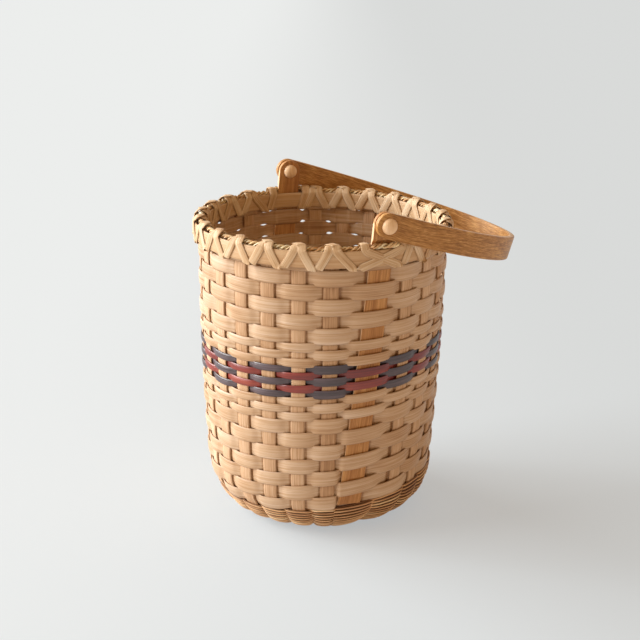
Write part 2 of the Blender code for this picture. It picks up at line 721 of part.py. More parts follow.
def main():
    clear_scene()
    parts = collection("swing_handle_basket")
    finishes = {
        "natural": material("natural_reed", (0.61, 0.41, 0.22), 0.6),
        "slate": material("slate_dyed_reed", (0.08, 0.06, 0.08), 0.65),
        "brick": material("brick_dyed_reed", (0.30, 0.035, 0.02), 0.65),
        "stake": material("stake_reed", (0.50, 0.31, 0.15), 0.6),
        "twining": material("twined_round_reed", (0.40, 0.22, 0.10), 0.65),
        "rope": material("seagrass_rope", (0.42, 0.33, 0.17), 0.7),
        "ear": material("ear_wood", (0.45, 0.25, 0.12), 0.5),
        "handle": material("handle_wood", (0.33, 0.15, 0.05), 0.45),
        "peg": material("peg_wood", (0.60, 0.42, 0.25), 0.5),
    }
    weave_rows(finishes, parts)
    stakes(finishes["stake"], parts)
    base_shell("base_outer_twining", 1, finishes["twining"], parts)
    base_shell("base_inner_twining", -1, finishes["twining"], parts)
    rim_band("rim_outer_band", OUTER_BAND_OUTSIDE - BAND_THICKNESS / 2, finishes["natural"], parts)
    rim_band("rim_inner_band", INNER_BAND_OUTSIDE - BAND_THICKNESS / 2, finishes["natural"], parts)
    rim_filler(finishes["rope"], parts)
    lashing("rim_lashing_under", 1, 0, finishes["natural"], parts)
    lashing("rim_lashing_over", -1, 1, finishes["natural"], parts)
    cutters = collection("cutters")
    bar = peg_hole_cutter(cutters)
    for side, index, facing in (("front", 0, -1), ("back", UPRIGHTS // 2, 1)):
        ear(f"ear_{side}", index, bar, finishes["ear"], parts)
        peg(f"handle_peg_{side}", facing, finishes["peg"], parts)
        peg_cap(f"peg_cap_{side}", facing, finishes["peg"], parts)
    handle(bar, finishes["handle"], parts)


main()
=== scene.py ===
import math

import bmesh
import bpy
import numpy as np
from mathutils import Euler, Matrix, Vector


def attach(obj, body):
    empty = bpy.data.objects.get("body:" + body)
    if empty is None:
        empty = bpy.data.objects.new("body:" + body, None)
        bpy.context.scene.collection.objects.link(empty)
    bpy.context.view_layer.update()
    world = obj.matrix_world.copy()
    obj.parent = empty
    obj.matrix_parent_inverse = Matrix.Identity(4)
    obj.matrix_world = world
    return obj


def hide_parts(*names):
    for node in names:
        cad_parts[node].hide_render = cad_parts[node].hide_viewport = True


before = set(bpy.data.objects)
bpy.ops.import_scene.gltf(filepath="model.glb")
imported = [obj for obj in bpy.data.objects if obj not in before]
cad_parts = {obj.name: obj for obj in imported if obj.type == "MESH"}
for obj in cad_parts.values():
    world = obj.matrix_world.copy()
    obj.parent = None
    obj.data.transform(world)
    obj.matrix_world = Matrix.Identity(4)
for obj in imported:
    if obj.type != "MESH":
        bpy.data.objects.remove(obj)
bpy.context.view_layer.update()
print("frame loaded,", len(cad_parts), "nodes")

mm = 0.001
fullTurn = 2 * math.pi

# The wall is a curve down the middle of the stakes' thickness: a taper, a quarter ellipse and
# a flat floor. Places on the basket are given as an angle round it, a distance down that wall
# and a distance out of it.
wall = {
    "radius": 96.5 * mm,
    "taper": 6.5 * mm,
    "taperPower": 2.2,
    "cornerLap": 13 * mm,
    "cornerDrop": 41 * mm,
    "cornerRun": 40 * mm,
    "floorHeight": 3.2 * mm,
    "footRadius": 24 * mm,
    "points": 400,  # on each of its three stretches
}
uprights = {
    "count": 24,
    "earToStake": 30.8 * mm,  # between their middles, round the wall
    "stakeWidth": 11 * mm,
    "stakeThickness": 1.4 * mm,
    "stakeTipWidth": 5.4 * mm,
    "earWidth": 18.5 * mm,
    "earThickness": 1.8 * mm,
    "leanAtRim": 7.2 * mm,  # how far the middle of an ear's leg is towards +X
    "lean": 0.0862,  # its slope back to the middle, down the wall
}
halfCount = uprights["count"] // 2
earIndices = [0, halfCount]
rows = {
    "top": 18.6 * mm,
    "gap": 0.3 * mm,
    "tilt": 0.064,  # the share that a depth loses at +X and gains at -X
    "thickness": 1.1 * mm,
    "widths": [9.9] * 5 + [5.25] * 3 + [4.3] * 5 + [5.25] * 3 + [9.9] * 7,  # in mm, down the wall
    "finishes": ["natural"] * 8 + ["slate", "brick"] * 2 + ["slate"] + ["natural"] * 10,
}
rim = {
    "bandDrop": 2.9 * mm,
    "bandHeight": 12.8 * mm,
    "bandThickness": 1.8 * mm,
    "outerBandOutside": 101.7 * mm,
    "innerBandInside": 92.1 * mm,
    "hiddenRowTop": 7.0 * mm,
    "hiddenRowWidth": 8.4,  # in mm
    "hiddenRowDrop": 1.3 * mm,
    "rope": 4.6 * mm,
    "ropeLift": 2.0 * mm,
    "ropeFade": 4 * mm,
    "clearance": 0.3 * mm,
}


# Depth of each row's top, and of the last row's foot: every width and gap so far, made larger
# so that they fit on the +X side, where the tilt brings the rows closer.
def rowTops():
    pitch = (np.array(rows["widths"]) * mm + rows["gap"]) / (1 - rows["tilt"])
    return rows["top"] + np.concatenate([[0], np.cumsum(pitch)])


rowTop = rowTops()
rowsEnd = rowTop[-1]
wallDepth = rowsEnd - wall["cornerLap"]
rimHeight = wallDepth + wall["cornerDrop"] + wall["floorHeight"]


# Radius and height down the wall: the radius falls by the taper times the share of the depth
# to a power, then both follow a quarter ellipse, then the radius runs straight in to nothing.
# The last two arrays are how far out and how far up the wall faces.
def wallCurve():
    count = wall["points"]
    depth = np.linspace(0, wallDepth, count)
    straight = wall["radius"] - wall["taper"] * (depth / wallDepth) ** wall["taperPower"]
    inner = straight[-1] - wall["cornerRun"]
    turn = np.linspace(0, math.pi / 2, count)[1:]
    radius = np.concatenate([straight, inner + wall["cornerRun"] * np.cos(turn),
                             np.linspace(inner, 0, count)[1:]])
    down = np.concatenate([depth, wallDepth + wall["cornerDrop"] * np.sin(turn),
                           np.full(count - 1, wallDepth + wall["cornerDrop"])])
    travel = np.concatenate([[0], np.cumsum(np.hypot(np.diff(radius), np.diff(down)))])
    slopeRadius, slopeDown = np.gradient(radius, travel), np.gradient(down, travel)
    size = np.hypot(slopeRadius, slopeDown)
    return travel, radius, rimHeight - down, slopeDown / size, slopeRadius / size


wallTravel, wallRadius, wallHeight, wallOut, wallUp = wallCurve()
cornerEnd = wallTravel[2 * wall["points"] - 2]
footEnd = cornerEnd + wallRadius[2 * wall["points"] - 2] - wall["footRadius"]


# Radius of the wall at a distance down it.
def radiusAt(travel):
    return np.interp(travel, wallTravel, wallRadius)


# How far out and how far up the wall faces at a distance down it.
def facingAt(travel):
    return np.interp(travel, wallTravel, wallOut), np.interp(travel, wallTravel, wallUp)


# Point or direction at an angle round the basket's axis.
def atAngle(angle, radius, height):
    x, y = radius * np.cos(angle), radius * np.sin(angle)
    return np.stack([x, y, height + 0 * x], axis=-1)


# Point of the basket at an angle, a distance down the wall and a distance out along its normal.
def onWall(angle, travel, out):
    outward, upward = facingAt(travel)
    height = np.interp(travel, wallTravel, wallHeight) + out * upward
    return atAngle(angle, radiusAt(travel) + out * outward, height)


# Rows rise on the +X side and sink on the -X side, in proportion to their depth.
def tilted(travel, angle):
    return rows["top"] + (travel - rows["top"]) * (1 - rows["tilt"] * np.cos(angle))


# Middle angle of every upright at a distance down the wall. The two ear legs lean towards +X.
def uprightCentres(travel):
    earToStake = uprights["earToStake"] / wall["radius"]
    between = (math.pi - 2 * earToStake) / (halfCount - 2)
    side = np.concatenate([[0], earToStake + between * np.arange(halfCount - 1)])
    angles = np.concatenate([side, side + math.pi]) - math.pi / 2
    lean = np.arcsin((uprights["leanAtRim"] - uprights["lean"] * travel) / radiusAt(travel))
    leaning = np.zeros(uprights["count"])
    leaning[earIndices] = 1, -1
    return angles + leaning * lean


# The first upright and the one halfway round are ears.
def isEar(index):
    return index % halfCount == 0


uprightHalf = np.full(uprights["count"], uprights["stakeWidth"] / 2)
uprightHalf[earIndices] = uprights["earWidth"] / 2


# Counts uprights round the basket: a whole number at the middle of each one, the edge share
# more or less at its edges, and an even climb across each gap.
def weaveCount(angle, travel, edgeShare):
    middle = uprightCentres(travel)
    spread = uprightHalf / radiusAt(travel)
    middle = np.concatenate([middle[-1:] - fullTurn, middle, middle[:1] + fullTurn])
    spread = np.concatenate([spread[-1:], spread, spread[:1]])
    order = np.arange(-1, uprights["count"] + 1)
    knots = np.stack([middle - spread, middle + spread], axis=1).ravel()
    counts = np.stack([order - edgeShare, order + edgeShare], axis=1).ravel()
    return np.interp(angle, knots, counts)


# Eases a share from 0 to 1: three times its square less twice its cube.
def eased(share):
    return share * share * (3 - 2 * share)


# A wave from -1 to 1 squared off by a hyperbolic tangent, the more the larger the snap.
def squaredOff(wave, snap):
    return np.tanh(snap * wave) / math.tanh(snap)


# One random value at each upright, easing to the next one's.
def perUpright(random, count, spread):
    values = random.normal(0, spread, uprights["count"])
    low = np.floor(count).astype(int)
    ease = eased(count - low)
    return values[low % uprights["count"]] * (1 - ease) + values[(low + 1) % uprights["count"]] * ease


wanderWaves = 5


# A slow random wander along something: sine waves, shorter and lower in proportion to their
# number.
def wander(random, along, longest, size):
    total = 0
    for harmonic in range(1, wanderWaves + 1):
        phase = random.uniform(0, fullTurn)
        total = total + np.sin(fullTurn * harmonic * along / longest + phase) / harmonic
    return total * size / 2


# Distance to each point along a path: the lengths between its points, added up.
def distanceAlong(path):
    return np.concatenate([[0], np.cumsum(np.linalg.norm(np.diff(path, axis=0), axis=1))])


# Values at places along a path, in proportion between the path's points.
def valuesAlong(where, distance, values):
    return np.stack([np.interp(where, distance, column) for column in values.T], axis=-1)


# Each vector divided by its length.
def unit(vectors):
    return vectors / np.linalg.norm(vectors, axis=-1, keepdims=True)


# Place of each point along and across the fibres, moved on by a step for each piece before it.
def fibrePlaces(along, across, step=(0, 0), number=0):
    return np.stack(np.broadcast_arrays(along + number * step[0], across + number * step[1]), axis=-1)


# A part of a piece: its grid of points (along, around), with each point's place in metres along
# and across the fibres, how near it is to the strip's edge, and a tone for its colour, which on
# some pieces also carries painted shade.
def gridPart(points, fibres, edge, tone):
    full = points.shape[:2]
    return (points, np.broadcast_to(fibres, full + (2,)), np.broadcast_to(edge, full),
            np.broadcast_to(tone, full))


# Faces of a grid: each joins a point to the next one along, the one beyond and the one beside.
def gridFaces(shape, start):
    index = start + np.arange(shape[0] * shape[1]).reshape(shape)
    corners = [index[:-1, :-1], index[1:, :-1], index[1:, 1:], index[:-1, 1:]]
    return np.stack([corner.ravel() for corner in corners], axis=1)


# Makes one object of its parts, with their fibre places, edges and tones. A capped one has a
# face at each end.
def addPiece(name, parts, material, capped=False):
    faces, caps, start = [], [], 0
    for points, _, _, _ in parts:
        shape = points.shape[:2]
        faces.append(gridFaces(shape, start))
        if capped:
            ring = start + np.arange(shape[1] - 1)
            caps += [ring.tolist(), (ring + (shape[0] - 1) * shape[1]).tolist()]
        start += shape[0] * shape[1]
    mesh = bpy.data.meshes.new(name)
    mesh.from_pydata(np.concatenate([part[0].reshape(-1, 3) for part in parts]), [],
                     np.concatenate(faces).tolist() + caps)
    corners = np.empty(len(mesh.loops), dtype=int)
    mesh.loops.foreach_get("vertex_index", corners)
    fibres = np.concatenate([part[1].reshape(-1, 2) for part in parts])
    mesh.uv_layers.new(name="fibres").data.foreach_set("uv", fibres[corners].ravel())
    for title, column in (("edge", 2), ("tone", 3)):
        values = np.concatenate([part[column].ravel() for part in parts])
        mesh.attributes.new(title, "FLOAT", "POINT").data.foreach_set("value", values)
    weld(mesh)
    mesh.shade_smooth()
    mesh.materials.append(material)
    made = bpy.data.objects.new(name, mesh)
    bpy.context.scene.collection.objects.link(made)
    return made


# Joins seams and poles, where points lie within a micrometre, and turns every face outward.
def weld(mesh):
    body = bmesh.new()
    body.from_mesh(mesh)
    bmesh.ops.remove_doubles(body, verts=body.verts, dist=mm / 1000)
    bmesh.ops.recalc_face_normals(body, faces=body.faces)
    body.to_mesh(mesh)
    body.free()


# Fills the open ends of a tube or board.
def closeEnds(made):
    body = bmesh.new()
    body.from_mesh(made.data)
    bmesh.ops.holes_fill(body, edges=[edge for edge in body.edges if edge.is_boundary], sides=0)
    bmesh.ops.recalc_face_normals(body, faces=body.faces)
    body.to_mesh(made.data)
    body.free()


# Puts a piece on its body, in place of a node.
def place(made, node, body="basket"):
    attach(made, body)
    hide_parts(node)


# The shorter way round from one angle to another, from minus to plus half a turn.
def turnBetween(start, end):
    return (end - start + math.pi) % fullTurn - math.pi


# A flattened ring of points round a strip's section: across runs from -1 to 1 and out from -1
# to 1, and both are cosine and sine raised to a power below one, so the edges stay rounded.
# How near a point is to the strip's edge is the cube of its place across.
def sectionRing(shape):
    turn = np.linspace(0, fullTurn, shape["around"] + 1)
    across = np.sign(np.cos(turn)) * np.abs(np.cos(turn)) ** shape["squareness"]
    out = np.sign(np.sin(turn)) * np.abs(np.sin(turn)) ** shape["fullness"]
    across[-1], out[-1] = across[0], out[0]
    return across[None, :], out[None, :], np.abs(across)[None, :] ** 3


# A linear colour from its sRGB hex value: a straight line near black, then a power curve.
def hexColour(code):
    parts = np.array([int(code[start:start + 2], 16) / 255 for start in (1, 3, 5)])
    linear = np.where(parts <= 0.04045, parts / 12.92, ((parts + 0.055) / 1.055) ** 2.4)
    return (*linear.tolist(), 1)


# Adds a node with its settings, and links or sets its inputs.
def addNode(tree, kind, inputs, **settings):
    node = tree.nodes.new(kind)
    for key, value in settings.items():
        setattr(node, key, value)
    for key, value in inputs.items():
        if isinstance(value, bpy.types.NodeSocket):
            tree.links.new(value, node.inputs[key])
        else:
            node.inputs[key].default_value = value
    return node.outputs[0]


# Puts the colours at their positions on a colour ramp.
def setRamp(socket, stops):
    ramp = socket.node.color_ramp
    for number, (position, code) in enumerate(stops):
        element = ramp.elements[number] if number < 2 else ramp.elements.new(position)
        element.position = position
        element.color = hexColour(code)


fibrous = {
    "detail": 3,
    "roughness": 0.6,
    "middle": 0.5,  # of a noise's values
    "noiseRange": (0.3, 0.7),  # where most of them lie
    "lineEase": 0.1,  # how soon a line is full, as a noise value
    "edgeStart": 0.55,
    "ridgeShare": 0.6,  # of the streaks in the bump
    "ior": 1.5,
    "specular": 0.35,
}


# A fibrous surface. Three noises stretched along the fibres give fine fibres, broader streaks
# and long blotches; a fourth gives thin dark lines. Their sum with the piece's own tone picks
# the colour, where the tone of some pieces holds painted shade; edges are darker, which on
# round strands is painted shade where they meet, or worn; and the fibres stand up as bump
# and vary the roughness.
# A noise has its length and width in mm, then its weight; the lines have the noise value at
# which they start, then their strength.
def fibreMaterial(name, look):
    made = bpy.data.materials.new(name)
    made.use_nodes = True
    tree = made.node_tree
    shader = tree.nodes["Principled BSDF"]
    where = addNode(tree, "ShaderNodeUVMap", {}, uv_map="fibres")
    tone = addNode(tree, "ShaderNodeAttribute", {}, attribute_name="tone").node.outputs["Fac"]
    edge = addNode(tree, "ShaderNodeAttribute", {}, attribute_name="edge").node.outputs["Fac"]
    noise = {}
    for key in ("fibre", "streak", "blotch", "line"):
        length, width = look[key][:2]
        scaled = addNode(tree, "ShaderNodeVectorMath",
                         {0: where, 1: (1 / (length * mm), 1 / (width * mm), 1)}, operation="MULTIPLY")
        noise[key] = addNode(tree, "ShaderNodeTexNoise",
                             {"Vector": scaled, "Scale": 1, "Detail": fibrous["detail"],
                              "Roughness": fibrous["roughness"]}, noise_dimensions="2D")
    total = tone
    for key in ("fibre", "streak", "blotch"):
        centred = addNode(tree, "ShaderNodeMath", {0: noise[key], 1: -fibrous["middle"]}, operation="ADD")
        total = addNode(tree, "ShaderNodeMath", {0: centred, 1: look[key][2], 2: total},
                        operation="MULTIPLY_ADD")
    colour = addNode(tree, "ShaderNodeValToRGB", {"Fac": total})
    setRamp(colour, look["colours"])
    lineStart, lineStrength = look["line"][2:]
    lines = addNode(tree, "ShaderNodeMapRange", {
        "Value": noise["line"], "From Min": lineStart, "From Max": lineStart + fibrous["lineEase"],
        "To Max": lineStrength})
    dark = addNode(tree, "ShaderNodeMapRange", {
        "Value": edge, "From Min": fibrous["edgeStart"], "From Max": 1, "To Max": look["edge"]})
    # A Mix node's colours are its inputs 6 and 7 and its output 2.
    lined = addNode(tree, "ShaderNodeMix", {0: lines, 6: colour, 7: hexColour(look["deep"])},
                    data_type="RGBA").node.outputs[2]
    edgeColour = hexColour(look.get("worn", look["deep"]))
    edged = addNode(tree, "ShaderNodeMix", {0: dark, 6: lined, 7: edgeColour},
                    data_type="RGBA").node.outputs[2]
    tree.links.new(edged, shader.inputs["Base Color"])
    lowNoise, highNoise = fibrous["noiseRange"]
    smoothest, roughest = look["rough"]
    rough = addNode(tree, "ShaderNodeMapRange", {
        "Value": noise["streak"], "From Min": lowNoise, "From Max": highNoise,
        "To Min": smoothest, "To Max": roughest})
    tree.links.new(rough, shader.inputs["Roughness"])
    ridges = addNode(tree, "ShaderNodeMath", {
        0: noise["streak"], 1: fibrous["ridgeShare"], 2: noise["fibre"]}, operation="MULTIPLY_ADD")
    raised = addNode(tree, "ShaderNodeBump", {"Height": ridges, "Distance": look["bump"] * mm,
                                              "Strength": 1})
    tree.links.new(raised, shader.inputs["Normal"])
    shader.inputs["IOR"].default_value = fibrous["ior"]
    shader.inputs["Specular IOR Level"].default_value = look.get("specular", fibrous["specular"])
    return made


# Split reed, knife-split and scraped: fine straight fibres, a soft satin face and pale tones
# that drift from reed to reed.
naturalReed = fibreMaterial("Split_reed_scraped", {
    "fibre": (45, 0.55, 0.9),
    "streak": (90, 2.2, 0.8),
    "blotch": (60, 25, 0.5),
    "line": (70, 0.35, 0.62, 0.35),
    "colours": [(0.0, "#9F7650"), (0.3, "#BC9872"), (0.6, "#CFB393"), (1.0, "#DFCBB7")],
    "deep": "#825836",
    "edge": 0.35,
    "rough": (0.42, 0.55),
    "specular": 0.5,
    "bump": 0.12,
})
# The stakes are coarser flat reed with the rough side out: fine upright streaks, a shade darker.
stakeReed = fibreMaterial("Split_reed_rough_side", {
    "fibre": (30, 0.4, 1.3),
    "streak": (70, 1.2, 0.8),
    "blotch": (50, 18, 0.5),
    "line": (60, 0.35, 0.6, 0.3),
    "colours": [(0.0, "#A27B57"), (0.35, "#C29D78"), (0.65, "#D4B492"), (1.0, "#E4CDB1")],
    "deep": "#8B643F",
    "edge": 0.3,
    "rough": (0.55, 0.7),
    "bump": 0.2,
})
# Dip-dyed reed: the dye sinks in unevenly, so it is paler along the harder fibres.
dipDyed = {
    "fibre": (35, 0.5, 0.9),
    "streak": (70, 1.5, 1.1),
    "blotch": (35, 12, 0.8),
    "line": (60, 0.35, 0.6, 0.4),
    "edge": 0.3,
    "rough": (0.3, 0.42),
    "specular": 0.8,
    "bump": 0.12,
}
slateReed = fibreMaterial("Split_reed_slate_dip_dyed", {
    **dipDyed,
    "colours": [(0.0, "#31262A"), (0.35, "#443538"), (0.65, "#57474C"), (1.0, "#726167")],
    "deep": "#2A1D21",
})
brickReed = fibreMaterial("Split_reed_brick_dip_dyed", {
    **dipDyed,
    "colours": [(0.0, "#651609"), (0.35, "#7A2011"), (0.65, "#8B2D1B"), (1.0, "#9E432C")],
    "deep": "#510F05",
})
# Flat-oval reed, peeled smooth: the rim's hoops, the palest and plainest reed.
bandReed = fibreMaterial("Flat_oval_reed_peeled", {
    "fibre": (60, 0.8, 0.6),
    "streak": (140, 3.5, 0.7),
    "blotch": (90, 30, 0.5),
    "line": (90, 0.4, 0.64, 0.25),
    "colours": [(0.0, "#A47B50"), (0.3, "#BF986E"), (0.6, "#CFB089"), (1.0, "#DCC3A6")],
    "deep": "#805630",
    "edge": 0.25,
    "rough": (0.45, 0.55),
    "bump": 0.08,
})
# Lashing strips, split narrow and pulled tight when damp: a few strong fibre ridges.
lashingReed = fibreMaterial("Split_reed_lashing", {
    "fibre": (30, 0.6, 1.0),
    "streak": (60, 1.3, 1.0),
    "blotch": (40, 20, 0.5),
    "line": (50, 0.35, 0.6, 0.4),
    "colours": [(0.0, "#A27B53"), (0.3, "#C4A178"), (0.6, "#D7BD99"), (1.0, "#E7D7BF")],
    "deep": "#79532F",
    "edge": 0.35,
    "rough": (0.5, 0.62),
    "bump": 0.2,
})
# Round reed, drawn through a die and worked damp: darker, with blotchy stretches; the sides
# where the strands meet are painted dark, as shade.
roundReed = fibreMaterial("Round_reed_die_drawn", {
    "fibre": (20, 0.6, 0.6),
    "streak": (60, 3.0, 0.5),
    "blotch": (30, 8, 0.6),
    "line": (40, 0.3, 0.6, 0.1),
    "colours": [(0.0, "#9D714A"), (0.35, "#C89A6E"), (0.65, "#E9C08F"), (1.0, "#FFE7BC")],
    "deep": "#452714",
    # How dark the strands' sides are painted, as shade where they meet.
    "edge": 0.85,
    "rough": (0.5, 0.62),
    "bump": 0.15,
})
# Seagrass, dried and twisted by hand: straw to olive, with open dark furrows.
seagrass = fibreMaterial("Seagrass_hand_twisted", {
    "fibre": (10, 0.45, 1.4),
    "streak": (25, 1.1, 1.4),
    "blotch": (12, 6, 1.0),
    "line": (20, 0.4, 0.56, 0.7),
    "colours": [(0.0, "#9D7548"), (0.35, "#EEB882"), (0.65, "#FFF4C4"), (1.0, "#FFFFFB")],
    "deep": "#694D28",
    # How dark the rope strands' sides are painted, as shade where they meet.
    "edge": 0.6,
    "rough": (0.55, 0.75),
    "bump": 0.4,
})
# Steam-bent strip, sanded and oiled: warm brown with long open pores and worn lighter edges.
handleWood = fibreMaterial("Bent_ash_sanded_oiled", {
    "fibre": (7, 0.5, 1.8),
    "streak": (22, 1.4, 1.4),
    "blotch": (30, 8, 0.8),
    "line": (6, 0.35, 0.58, 0.6),
    "colours": [(0.0, "#8B5D26"), (0.35, "#A9773C"), (0.65, "#BF8E50"), (1.0, "#D5AA6A")],
    "deep": "#734A20",
    "worn": "#DDBE90",
    "edge": 0.5,
    "rough": (0.38, 0.5),
    "bump": 0.08,
})
# The ears are riven from the same wood and left unoiled below the rim.
earWood = fibreMaterial("Riven_ash_scraped", {
    "fibre": (25, 0.4, 0.8),
    "streak": (80, 1.8, 1.0),
    "blotch": (40, 12, 0.8),
    "line": (25, 0.3, 0.6, 0.5),
    "colours": [(0.0, "#946234"), (0.35, "#B27D49"), (0.65, "#CB9960"), (1.0, "#E2B77F")],
    "deep": "#734925",
    "worn": "#F3D5AF",
    "edge": 0.8,
    "rough": (0.45, 0.6),
    "bump": 0.1,
})
# Lathe-turned hardwood buttons, waxed: pale, close-grained, a soft highlight.
pegWood = fibreMaterial("Turned_birch_waxed", {
    "fibre": (8, 0.4, 0.4),
    "streak": (9, 1.2, 0.9),
    "blotch": (12, 6, 0.4),
    "line": (10, 0.2, 0.64, 0.3),
    "colours": [(0.0, "#D8B080"), (0.4, "#EBC89D"), (0.7, "#F7D9B4"), (1.0, "#FFEFD1")],
    "deep": "#B68C5A",
    "edge": 0.0,
    "rough": (0.28, 0.38),
    "bump": 0.03,
})
finishes = {"natural": naturalReed, "slate": slateReed, "brick": brickReed}
print("materials made")

weave = {
    "seed": 40,
    "steps": 648,
    "around": 12,
    "squareness": 0.42,
    "fullness": 0.7,
    "edgeShare": 0.228,  # from an upright's middle to its edge, as a share of the way to the next
    "snap": 2.4,
    # The slot beside each upright: where it centres and its width as shares, how deep the row sinks there,
    # and how much its painted shadow darkens the tone.
    "slotShare": 0.252,  # the same for its dark mark
    "slotWidth": 0.03,
    "slotDepth": 0.6 * mm,
    "slotPaintedShade": -0.6,
    # By the row's width, its height in mm where it crosses the wall and where it floats.
    "heights": {9.9: (11.2, 11.3), 5.25: (6.2, 6.35), 4.3: (5.15, 5.3), 8.4: (11.0, 11.2)},
    "behindHeight": 0.9,  # more behind an upright, in mm
    "earReach": 1.5,  # in uprights, as the next one
    "earHeight": 1.5,  # more beside an ear, in mm
    "earHeightReach": 2.5,
    "looseRows": 3,
    "looseHeight": 4.6,  # less where a loose row crosses, in mm
    "looseMiddle": math.radians(93),
    "looseSpan": math.radians(52),
    "looseFullness": 1.5,
    "looseSlack": 0.5,
    "crown": 0.3 * mm,
    "bow": 0.5 * mm,
    "stakeBow": 0.45 * mm,
    "clearance": 0.15 * mm,
    "shift": 0.15 * mm,
    "sizeSpread": 0.015,
    "tone": 0.5,
    # Painted shade on each row's inner face, for the darker inside of the basket.
    "insidePaintedShade": -0.04,
    "toneSpread": 0.06,
    "patternStep": (900 * mm, 37 * mm),
}


# A row is a flattened ring of section points carried round the wall. How far out it stands is
# a squared-off cosine of the upright count, and it is widest over an upright. At the back the
# top rows are narrower where they cross, so daylight shows between them. Beside each
# upright that it dives behind it sinks a little deeper and is painted darker, as the shadow in
# that slot. Its inner face is painted a little darker too, as shade inside the basket. It starts
# and ends behind the front ear or the stake beside it, where a weaver tucks in its ends.
def wovenRow(number, middle, width, overFirst, material):
    random = np.random.default_rng(weave["seed"] + number)
    across, out, edge = sectionRing(weave)
    atUprights = tilted(middle, uprightCentres(middle))
    centres = uprightCentres(atUprights)
    start = centres[-1] - fullTurn if overFirst else centres[0]
    angle = np.linspace(start, start + fullTurn, weave["steps"] + 1)[:, None]
    count = weaveCount(angle, atUprights, weave["edgeShare"])
    wave = np.cos(math.pi * count) * (1 if overFirst else -1)
    swing = squaredOff(wave, weave["snap"])
    earGap = (uprights["earThickness"] + rows["thickness"]) / 2 + weave["clearance"]
    gap = (uprights["stakeThickness"] + rows["thickness"]) / 2 + weave["clearance"] - weave["stakeBow"]
    fromEar = np.abs((count + halfCount / 2) % halfCount - halfCount / 2)
    nearEar = np.clip(weave["earReach"] - fromEar, 0, 1)
    stand = (gap + (earGap - gap) * nearEar) * swing + weave["bow"] * np.clip(wave, 0, 1) ** 2
    fromUpright = np.abs(count - np.round(count))
    slot = np.exp(-((fromUpright - weave["slotShare"]) / weave["slotWidth"]) ** 2) * (wave < 0)
    crossing, floating = weave["heights"][width]
    besideEar = np.clip(weave["earHeightReach"] - fromEar, 0, 1)
    tall = crossing + (floating - crossing) * swing ** 2 + weave["earHeight"] * besideEar
    if number <= weave["looseRows"]:
        fromMiddle = turnBetween(weave["looseMiddle"], angle) / weave["looseSpan"]
        loose = np.clip(weave["looseFullness"] * (1 - fromMiddle ** 2), 0, 1)
        slack = np.clip(weave["looseSlack"] + perUpright(random, count, weave["looseSlack"]), 0, 1)
        tall = tall - weave["looseHeight"] * loose * slack * (1 - swing ** 2)
    half = (tall + weave["behindHeight"] * np.clip(-swing, 0, 1)) * mm / 2
    half = half * (1 + perUpright(random, count, weave["sizeSpread"])) * (1 - rows["tilt"] * np.cos(angle))
    shift = perUpright(random, count, weave["shift"])
    travel = tilted(middle, angle) + shift + across * half
    offset = stand + out * rows["thickness"] / 2 + weave["crown"] * (1 - across ** 2)
    points = onWall(angle, travel, offset - weave["slotDepth"] * slot)
    points[-1] = points[0]
    fibres = fibrePlaces(angle * wall["radius"], across * half, weave["patternStep"], number)
    tone = weave["tone"] + random.normal(0, weave["toneSpread"])
    tone = tone + perUpright(random, count, weave["toneSpread"])
    # Painted shade: the inner face a little darker, and a painted shadow in the slot beside each upright.
    tone = tone + np.where(out < 0, weave["insidePaintedShade"], weave["slotPaintedShade"] * slot)
    return addPiece(f"wovenRow{number:02d}", [gridPart(points, fibres, edge, tone)], material)


rowMiddle = rowTop[:-1] + np.array(rows["widths"]) * mm / 2 / (1 - rows["tilt"])
hiddenMiddle = rim["hiddenRowTop"] + rim["hiddenRowWidth"] * mm / 2 + rim["hiddenRowDrop"]
hiddenRow = wovenRow(0, hiddenMiddle, rim["hiddenRowWidth"], True, naturalReed)
place(hiddenRow, "weaver_00_rim")
for number, (width, finish) in enumerate(zip(rows["widths"], rows["finishes"])):
    row = wovenRow(number + 1, rowMiddle[number], width, number % 2 == 1, finishes[finish])
    place(row, f"weaver_{number + 1:02d}_{finish}")
print("woven rows made")

stakeShape = {
    "seed": 300,
    "steps": 220,
    "around": 12,
    "squareness": 0.45,
    "fullness": 0.7,
    "top": 4.9 * mm,
    "crown": 0.12 * mm,
    "sizeSpread": 0.03,
    "wander": (230 * mm, 0.5 * mm),  # longest wave and size, as in each wander below
    "tone": 0.5,
    "toneSpread": 0.09,
    # Painted shade on the stakes below the rows, where they show in the gaps between the twined strands.
    "coveredPaintedShade": -0.6,
    "coveredEase": 3 * mm,
    "patternStep": (700 * mm, 41 * mm),
}


# How far a stake bows out of the wall: out where a row passes behind it, in where one passes
# in front, easing from each row's middle to the next one's.
def stakeBow(travel, centre, index):
    knots = tilted(np.concatenate([[hiddenMiddle], rowMiddle, [rowsEnd]]), centre)
    outward = (-1.0) ** (np.arange(len(knots)) + index + 1)
    outward[-1] = 0
    row = np.interp(travel, knots, np.arange(len(knots)))
    low = np.minimum(np.floor(row).astype(int), len(knots) - 2)
    ease = eased(row - low)
    return weave["stakeBow"] * (outward[low] * (1 - ease) + outward[low + 1] * ease)


